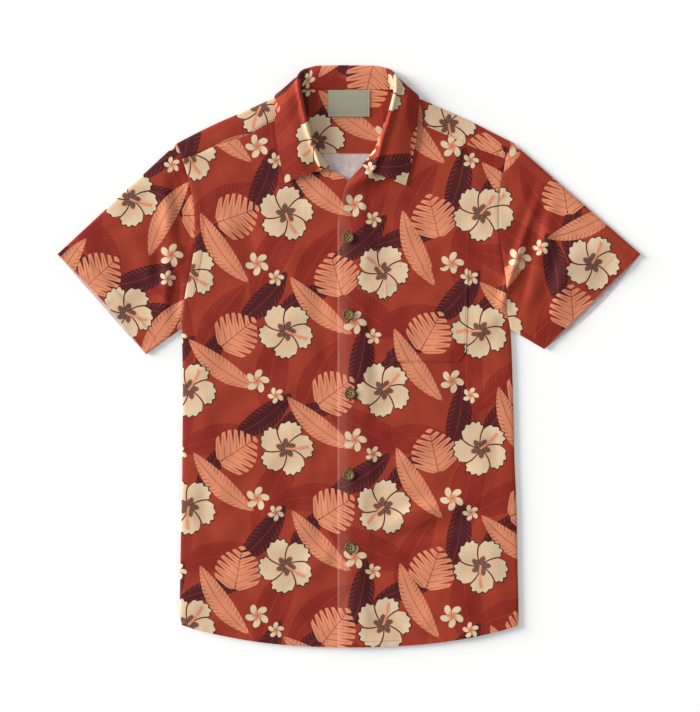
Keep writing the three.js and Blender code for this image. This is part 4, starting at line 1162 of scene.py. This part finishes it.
def pocket_outline():
    size = POCKET
    across, up = size["cut"]
    right = size["right"] - size["lean"]
    return np.array([(size["left"], size["top"]), (size["left"], size["bottom"] + up),
                     (size["left"] + across / 2, size["bottom"] + 2), (size["left"] + across, size["bottom"]),
                     (right - across, size["bottom"]), (right, size["bottom"] + up), (size["right"], size["top"])])


POCKET_HEM = 25
POCKET_RISE = 0.8
POCKET_PUFF, POCKET_PUFF_REACH, POCKET_HEM_STEP, POCKET_GROOVE = 0.5, 22, 0.3, 0.2


def make_pocket():
    outline = pocket_outline()
    y = np.concatenate([np.linspace(POCKET["bottom"], POCKET["bottom"] + POCKET["cut"][1], 9)[:-1],
                        np.linspace(POCKET["bottom"] + POCKET["cut"][1], POCKET["top"], 40)])
    left = np.interp(y, outline[3::-1, 1], outline[3::-1, 0])
    right = np.interp(y, outline[4:, 1], outline[4:, 0])
    across = np.linspace(0, 1, 38)
    plan = np.stack([lerp(left[:, None], right[:, None], across), y[:, None] + 0 * across], axis=-1)
    border, _ = distance_to(plan, outline)
    top_gap = POCKET["top"] - plan[..., 1]
    puff = (POCKET_PUFF * smooth(border / POCKET_PUFF_REACH)
            + POCKET_HEM_STEP * smooth((POCKET_HEM - top_gap) / 2))
    groove = (POCKET_HEM_STEP * np.exp(-((top_gap - POCKET_HEM) / 1.2) ** 2)
              + POCKET_GROOVE * np.exp(-((border - 2) / 0.9) ** 2))
    height = over_height(plan) + POCKET_RISE + puff - groove
    return make_cloth("pocket", [patch(plan, height, shifted(plan, (3, -2)), True)])


LABEL_BULGE, LABEL_GROOVE = 0.35, 0.25


def make_label():
    x = np.linspace(LABEL["left"], LABEL["right"], 30)
    y = np.linspace(LABEL["bottom"], LABEL["top"], 20)
    plan = np.stack(np.meshgrid(x, y), axis=-1)
    side_gap = np.minimum(plan[..., 0] - LABEL["left"], LABEL["right"] - plan[..., 0])
    height = lower_height(plan) + 2 * (SOLID_CLOTH + 0.3)
    height += LABEL_BULGE * np.sin(math.pi * (x - x[0]) / (x[-1] - x[0]))
    height -= LABEL_GROOVE * np.exp(-(side_gap - 2) ** 2)
    piece = make_wall("label", [patch(plan, height, plan, True)], 0.8 * size_mm("cloth"),
                      [label_material("woven_label")])
    return settle(piece, "label")


# Stitches: many small rods of thread in one mesh

def rods(name, pairs, thickness, material, sides=6):
    """One mesh of capsules, one between each pair of points, in mm."""
    starts, ends = (np.asarray(part, float) for part in zip(*pairs))
    along = ends - starts
    along /= np.linalg.norm(along, axis=1, keepdims=True)
    flat = np.cross(along, (0, 0, 1))
    lengths = np.linalg.norm(flat, axis=1, keepdims=True)
    flat = np.where(lengths > 1e-6, flat / np.maximum(lengths, 1e-6), (1.0, 0, 0))
    third = np.cross(flat, along)
    angles = np.arange(sides) * 2 * math.pi / sides
    ring = (np.cos(angles)[None, :, None] * flat[:, None] + np.sin(angles)[None, :, None] * third[:, None])
    half = thickness / 2
    inward = along[:, None] * half * 0.8
    rings = [starts[:, None] + ring * half * 0.55, starts[:, None] + ring * half + inward,
             ends[:, None] + ring * half - inward, ends[:, None] + ring * half * 0.55]
    points = np.stack(rings, axis=1).reshape(-1, 3)
    count = len(starts)
    base = np.arange(count)[:, None, None] * (4 * sides)
    level = np.arange(3)[None, :, None] * sides
    place = np.arange(sides)[None, None, :]
    after = (place + 1) % sides
    walls = np.stack([base + level + place, base + level + after, base + level + sides + after,
                      base + level + sides + place], axis=-1).reshape(-1, 4)
    caps = np.concatenate([(base[:, 0] + place[0])[:, ::-1], base[:, 0] + 3 * sides + place[0]])
    mesh = bpy.data.meshes.new(name)
    mesh.from_pydata((points * MM).tolist(), [], [*walls.tolist(), *caps.tolist()])
    mesh.shade_smooth()
    mesh.materials.append(material)
    return placed(name, mesh)


STITCH_SHARE = 0.78
THREAD_LIFT = 0.02


def sewn(name, pairs, thickness=None):
    """Stitches as one piece."""
    stitches = rods(name, pairs, thickness or size_mm("thread"), thread_material("sewing_thread"))
    return settle(stitches, None)


def stitch_spots(path, first=0):
    """Where the stitches along a path start and end. The first starts this far along it."""
    reach = reach_along(path)
    pitch = size_mm("stitch")
    starts = np.arange(first, reach[-1] - pitch, pitch)
    return [np.stack([np.interp(place, reach, axis) for axis in path.T], axis=-1)
            for place in (starts, starts + pitch * STITCH_SHARE)]


def stitch_pairs(path, height):
    """Start and end of each stitch along a path of plan points, on a surface."""
    return list(zip(*[lifted(spot, height(spot)) for spot in stitch_spots(path, size_mm("stitch"))]))


def beside(path, distance):
    """A path at a distance to the left of another."""
    along = np.gradient(path, axis=0)
    along /= np.linalg.norm(along, axis=1, keepdims=True)
    return path + distance * np.stack([-along[:, 1], along[:, 0]], axis=-1)


def on_cloth(*heights):
    """The height of thread that lies on cloth whose height is the sum of these."""
    def top(spots):
        return sum(height(spots) for height in heights) + size_mm("cloth") / 2 + THREAD_LIFT
    return top


def below_back(spots):
    """The height of thread sunk into the underside of the back."""
    return lower_height(spots) - size_mm("cloth") / 2 - THREAD_LIFT + BACK_THREAD_SUNK


SEAM_STITCH, FELL_STITCH, YOKE_STITCH = 1.8, 11.5, 2.2
BACK_THREAD_SUNK = 0.15


def make_stitches():
    parts = np.linspace(0, 1, 120)
    pairs = []
    for side, sign, own_height in (("left", 1, upper_height), ("right", -1, over_height)):
        armhole = armhole_line[side].at(lerp(0.03, 0.97, parts))
        for gap in (SEAM_STITCH, FELL_STITCH):
            pairs += stitch_pairs(beside(armhole, -sign * gap), on_cloth(own_height))
        yoke = beside(yoke_line[side].at(lerp(0.02, 0.99, parts)), sign * YOKE_STITCH)
        pairs += stitch_pairs(yoke, on_cloth(upper_height))
        distances = lerp(8, armhole_line[side].length - 8, parts)
        cuff = cuff_points(side, distances, CUFF[side]["front"])
        inward = armhole_line[side].at(distances / armhole_line[side].length) - cuff
        inward /= np.linalg.norm(inward, axis=1, keepdims=True)
        pairs += stitch_pairs(cuff + inward * SLEEVE_HEM, on_cloth(upper_height))
        x = np.linspace(SIDE[side][0][0] + sign * 6, FRONT_EDGE[side][0][0] - sign * 2, 120)
        pairs += stitch_pairs(hem_points(x) + (0, HEM_WIDTH), on_cloth(own_height, hem_relief))
    edge = edge_line["right"].at(lerp(0.01, 0.9, parts))
    pairs += stitch_pairs(beside(edge, -TOPSTITCH_INSET), on_cloth(over_height))
    pairs += stitch_pairs(hem_points(np.linspace(-228, 230, 120)) + (0, HEM_WIDTH), below_back)
    return sewn("stitches_body", pairs)


POCKET_STITCH = 2.2
POCKET_THREAD_SUNK = 0.15


def make_pocket_stitches():
    outline = pocket_outline()

    def pocket_height(spots):
        return over_height(spots) + POCKET_RISE

    def puff(spots):
        return POCKET_PUFF * smooth(distance_to(spots, outline)[0] / POCKET_PUFF_REACH) - POCKET_THREAD_SUNK

    toward_middle = np.sign(outline.mean(axis=0) - outline)
    path = resampled(outline + toward_middle * POCKET_STITCH * (1, 0.8), 200)
    x = np.linspace(POCKET["left"] + 3, POCKET["right"] - 3, 60)
    hem = np.stack([x, np.full(60, POCKET["top"] - POCKET_HEM)], axis=-1)
    pairs = stitch_pairs(path, on_cloth(pocket_height)) + stitch_pairs(hem, on_cloth(pocket_height, puff))
    return sewn("stitches_pocket", pairs)


COLLAR_STITCH, COLLAR_STITCH_COLUMN, COLLAR_STITCH_ROWS = 5.5, 3, slice(24, 42)


def make_collar_stitches():
    """One line of stitches round the collar, inside its free edge and down both of its ends."""
    grid = collar_grid()
    normals = np.cross(np.gradient(grid, axis=1), np.gradient(grid, axis=0))
    normals /= np.linalg.norm(normals, axis=-1, keepdims=True)
    lengths = np.linalg.norm(np.diff(grid, axis=0), axis=-1)
    reach = np.concatenate([np.zeros((1, grid.shape[1])), np.cumsum(lengths, axis=0)])
    outer = grid + normals * (size_mm("collar") / 2 + 0.03)
    first, last = COLLAR_STITCH_COLUMN, grid.shape[1] - COLLAR_STITCH_COLUMN
    path = np.array([[np.interp(reach[-1, column] - COLLAR_STITCH, reach[:, column], outer[:, column, axis])
                      for axis in range(3)] for column in range(first, last)])
    rows = COLLAR_STITCH_ROWS
    path = np.vstack([outer[rows, first], path, outer[rows, last - 1][::-1]])
    return sewn("stitches_collar", list(zip(*stitch_spots(path))))


# Buttons

HOLE_OFFSET, HOLE_RADIUS, BUTTON_TURN, BUTTON_TURNS, TURN_BETWEEN_BUTTONS = 1.75, 1.1, 12, 64, 7
BUTTON_PROFILE = [(0, 2.0), (2.6, 2.0), (5.0, 2.02), (5.7, 2.2), (6.2, 2.5), (6.8, 2.62), (7.4, 2.5), (7.8, 2.1),
                  (8, 1.5), (7.9, 0.9), (7.5, 0.4), (6.8, 0.1), (6, 0), (0, 0)]


def button_mesh():
    """A turned button: a dished face inside a rounded rim, still without its four holes."""
    shape = bmesh.new()
    scale = size_mm("button") / 16 * MM
    profile = [shape.verts.new((radius * scale, 0, z * scale)) for radius, z in BUTTON_PROFILE]
    edges = [shape.edges.new(pair) for pair in zip(profile, profile[1:])]
    bmesh.ops.spin(shape, geom=profile + edges, axis=(0, 0, 1), cent=(0, 0, 0), angle=2 * math.pi,
                   steps=BUTTON_TURNS)
    bmesh.ops.remove_doubles(shape, verts=shape.verts, dist=1e-6)
    bmesh.ops.recalc_face_normals(shape, faces=shape.faces)
    return as_mesh(shape, "button")


def as_mesh(shape, name):
    mesh = bpy.data.meshes.new(name)
    shape.to_mesh(mesh)
    shape.free()
    return mesh


def hole_places(turn=0):
    """The centres of a button's four holes, in mm from its middle."""
    reach = HOLE_OFFSET * math.sqrt(2)
    angles = [math.radians(BUTTON_TURN + turn + 90 * quarter) for quarter in range(4)]
    return [(math.cos(angle) * reach, math.sin(angle) * reach) for angle in angles]


def hole_cutter():
    shape = bmesh.new()
    for x, y in hole_places():
        made = bmesh.ops.create_cone(shape, cap_ends=True, segments=20, radius1=HOLE_RADIUS * MM,
                                     radius2=HOLE_RADIUS * MM, depth=12 * MM)
        bmesh.ops.translate(shape, verts=made["verts"], vec=(x * MM, y * MM, 0))
    return placed("holes", as_mesh(shape, "holes"))


def make_buttons():
    cutter = hole_cutter()
    model = placed("button_model", button_mesh())
    cut = model.modifiers.new("Holes", "BOOLEAN")
    cut.object = cutter
    cut.solver = "EXACT"
    cut.operation = "DIFFERENCE"
    graph = bpy.context.evaluated_depsgraph_get()
    drilled = bpy.data.meshes.new_from_object(model.evaluated_get(graph))
    for spare in (model, cutter):
        bpy.data.objects.remove(spare)
    layer = drilled.uv_layers.new(name="cloth")
    for loop in drilled.loops:
        place = drilled.vertices[loop.vertex_index].co
        layer.data[loop.index].uv = place.xy
    drilled.shade_smooth()
    drilled.materials.append(button_material("turned_shell"))
    thread = thread_material("dark_thread", tuple(colours().button_thread))
    for index, (x, y) in enumerate(BUTTONS):
        name = f"button_{index + 1}"
        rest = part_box(name)[0][2]
        turn = TURN_BETWEEN_BUTTONS * index
        piece = placed(f"{name}_turned", drilled.copy())
        piece.data.transform(Matrix.Translation((x * MM, y * MM, rest))
                             @ Matrix.Rotation(math.radians(turn), 4, "Z"))
        settle(piece, name)
        settle(button_thread(name, x, y, rest / MM, turn, thread), None)


THREAD_TOP, THREAD_LOW, THREAD_CROSS = 1.1, -0.5, -0.2
STRANDS, STRAND_GAP, STRAND_THICKNESS = 3, 0.42, 0.6


def button_thread(name, x, y, z, turn, material):
    """Dark thread that stands in the four holes, lower than the face, and joins them under the button."""
    holes = [(x + across, y + along) for across, along in hole_places(turn)]
    pairs = []
    for hole_x, hole_y in holes:
        for strand in range(STRANDS):
            angle = 2 * math.pi * strand / STRANDS
            spot = (hole_x + STRAND_GAP * math.cos(angle), hole_y + STRAND_GAP * math.sin(angle))
            pairs.append(((*spot, z + THREAD_LOW), (*spot, z + THREAD_TOP)))
    for start, end in zip(holes, holes[1:] + holes[:1]):
        pairs.append(((*start, z + THREAD_CROSS), (*end, z + THREAD_CROSS)))
    return rods(f"{name}_thread", pairs, STRAND_THICKNESS, material)


SLIT_HALF, SLIT_PITCH, SLIT_BAR = 10.2, 0.5, 1.2
SLIT_SIDE, SLIT_END = (0.25, 1.7), (-0.6, 1.9)
SLIT_LIFT, SLIT_THREAD = 0.12, 0.5


def make_buttonholes():
    """Satin-stitched slits along the lapping edge, half hidden by their buttons."""
    pairs = []
    for x, y in BUTTONS:
        for step in np.arange(-SLIT_HALF, SLIT_HALF, SLIT_PITCH):
            inner, reach = SLIT_SIDE if abs(step) < SLIT_HALF - SLIT_BAR else SLIT_END
            for side in (-1, 1):
                spots = np.array([(x + side * inner, y + step), (x + side * reach, y + step)])
                z = over_height(spots) + size_mm("cloth") / 2 + SLIT_LIFT
                pairs.append(((*spots[0], z[0]), (*spots[1], z[1])))
    return sewn("buttonholes", pairs, SLIT_THREAD)


# Stage

FLOOR_HALF, FLOOR_BELOW = 6, -0.0006
VIEW_WIDTH = 980
VIEW_CENTRE = (1.4, 0)
LENS, SENSOR = 85, 36
PHOTO = (700, 712)
SUN_PLACE, SUN_SPREAD, SUN_STRENGTH, SKY_STRENGTH = (-2.9, 0.85, 0.86), 29, 6.0, 0.5


def add_sun(name, place, spread, strength, tint):
    """Even light from the direction of a place, as from a softbox this many degrees wide."""
    data = bpy.data.lights.new(name, "SUN")
    data.angle = math.radians(spread)
    data.energy = strength
    data.color = tint
    lamp = placed(name, data)
    lamp.location = place
    lamp.rotation_euler = Vector(place).to_track_quat("Z", "Y").to_euler()


def make_stage():
    scene = bpy.context.scene
    shape = bmesh.new()
    bmesh.ops.create_grid(shape, x_segments=8, y_segments=8, size=FLOOR_HALF)
    floor = placed("floor", as_mesh(shape, "floor"))
    floor.data.materials.append(floor_material("white_floor"))
    floor.location.z = FLOOR_BELOW

    view_height = VIEW_WIDTH * PHOTO[1] / PHOTO[0] * MM
    distance = view_height * LENS / SENSOR
    camera = placed("camera", bpy.data.cameras.new("camera"))
    camera.data.lens = LENS
    camera.data.sensor_width = SENSOR
    camera.location = (VIEW_CENTRE[0] * MM, VIEW_CENTRE[1] * MM, distance)
    scene.camera = camera

    add_sun("key", SUN_PLACE, SUN_SPREAD, SUN_STRENGTH, (1, 0.985, 0.965))
    world = bpy.data.worlds.new("studio")
    world.use_nodes = True
    background = world.node_tree.nodes["Background"]
    background.inputs["Color"].default_value = (0.98, 0.99, 1, 1)
    background.inputs["Strength"].default_value = SKY_STRENGTH
    scene.world = world
    scene.view_settings.view_transform = "Standard"
    scene.view_settings.look = "None"


# Flat size of each cut piece in metres: width, length and the area of the cut

SHEETS = {
    "back": ((0.474, 0.69), 0.322),
    "yoke_outer": ((0.47, 0.15), 0.044),
    "yoke_inner": ((0.124, 0.0912), 0.0111),
    "front_under": ((0.252, 0.745), 0.172),
    "front_over": ((0.252, 0.745), 0.171),
    "sleeve_left": ((0.47, 0.23), 0.079),
    "sleeve_right": ((0.47, 0.23), 0.08),
    "collar": ((0.46, 0.09), 0.036),
    "pocket": ((0.1155, 0.132), 0.0149),
    "label": ((0.058, 0.0368), 0.00213),
}


def declare(piece):
    flat, area = SHEETS[piece.name.removesuffix("_cloth")]


# Operators

class SHIRT_OT_back(bpy.types.Operator):
    """Make the back below the yoke"""
    bl_idname = "shirt.back"
    bl_label = "Back"

    def execute(self, context):
        declare(make_back())
        return {"FINISHED"}


class SHIRT_OT_yokes(bpy.types.Operator):
    """Make the outer yoke over both shoulders and the inner yoke seen through the neck"""
    bl_idname = "shirt.yokes"
    bl_label = "Yokes"

    def execute(self, context):
        outer = make_yoke()
        declare(outer)
        declare(make_inner_yoke())
        return {"FINISHED"}


class SHIRT_OT_fronts(bpy.types.Operator):
    """Make the two fronts, the right one lapping over the left"""
    bl_idname = "shirt.fronts"
    bl_label = "Fronts"

    def execute(self, context):
        under = make_front("left", "front_under")
        declare(under)
        declare(make_front("right", "front_over"))
        return {"FINISHED"}


class SHIRT_OT_sleeves(bpy.types.Operator):
    """Make both sleeves as flat tubes, open at the cuffs"""
    bl_idname = "shirt.sleeves"
    bl_label = "Sleeves"

    def execute(self, context):
        for side in SIDES:
            declare(make_sleeve(side))
        return {"FINISHED"}


class SHIRT_OT_collar(bpy.types.Operator):
    """Make the collar, rolled over at its stand"""
    bl_idname = "shirt.collar"
    bl_label = "Collar"

    def execute(self, context):
        declare(make_collar())
        return {"FINISHED"}


class SHIRT_OT_pocket(bpy.types.Operator):
    """Make the chest pocket"""
    bl_idname = "shirt.pocket"
    bl_label = "Pocket"

    def execute(self, context):
        declare(make_pocket())
        return {"FINISHED"}


class SHIRT_OT_label(bpy.types.Operator):
    """Make the plain neck label"""
    bl_idname = "shirt.label"
    bl_label = "Label"

    def execute(self, context):
        declare(make_label())
        return {"FINISHED"}


class SHIRT_OT_buttons(bpy.types.Operator):
    """Make the buttons with their thread, and the buttonholes"""
    bl_idname = "shirt.buttons"
    bl_label = "Buttons"

    def execute(self, context):
        make_buttons()
        make_buttonholes()
        return {"FINISHED"}


class SHIRT_OT_stitches(bpy.types.Operator):
    """Sew the seams, the hems, the collar and the pocket"""
    bl_idname = "shirt.stitches"
    bl_label = "Stitches"

    def execute(self, context):
        make_stitches()
        make_pocket_stitches()
        make_collar_stitches()
        return {"FINISHED"}


class SHIRT_OT_stage(bpy.types.Operator):
    """Make the floor, the camera and the light"""
    bl_idname = "shirt.stage"
    bl_label = "Stage"

    def execute(self, context):
        make_stage()
        return {"FINISHED"}


OPERATORS = (SHIRT_OT_stage, SHIRT_OT_back, SHIRT_OT_yokes, SHIRT_OT_fronts, SHIRT_OT_sleeves, SHIRT_OT_collar,
             SHIRT_OT_pocket, SHIRT_OT_label, SHIRT_OT_buttons, SHIRT_OT_stitches)


class SHIRT_PT_panel(bpy.types.Panel):
    """Lists the sizes, the colours and the pieces"""
    bl_label = "Shirt"
    bl_space_type = "VIEW_3D"
    bl_region_type = "UI"
    bl_category = "Shirt"

    def draw(self, context):
        for group in (context.scene.shirt_sizes, context.scene.shirt_colours):
            for name in group.__annotations__:
                self.layout.prop(group, name)
        for operator in OPERATORS:
            self.layout.operator(operator.bl_idname)


CLASSES = (ShirtSizes, ShirtColours, *OPERATORS, SHIRT_PT_panel)


def register():
    for part in CLASSES:
        bpy.utils.register_class(part)
    bpy.types.Scene.shirt_sizes = PointerProperty(type=ShirtSizes)
    bpy.types.Scene.shirt_colours = PointerProperty(type=ShirtColours)


def unregister():
    del bpy.types.Scene.shirt_colours
    del bpy.types.Scene.shirt_sizes
    for part in reversed(CLASSES):
        bpy.utils.unregister_class(part)


def main():
    register()
    for operator in OPERATORS:
        getattr(bpy.ops.shirt, operator.bl_idname.split(".")[1])()


if __name__ == "__main__":
    main()
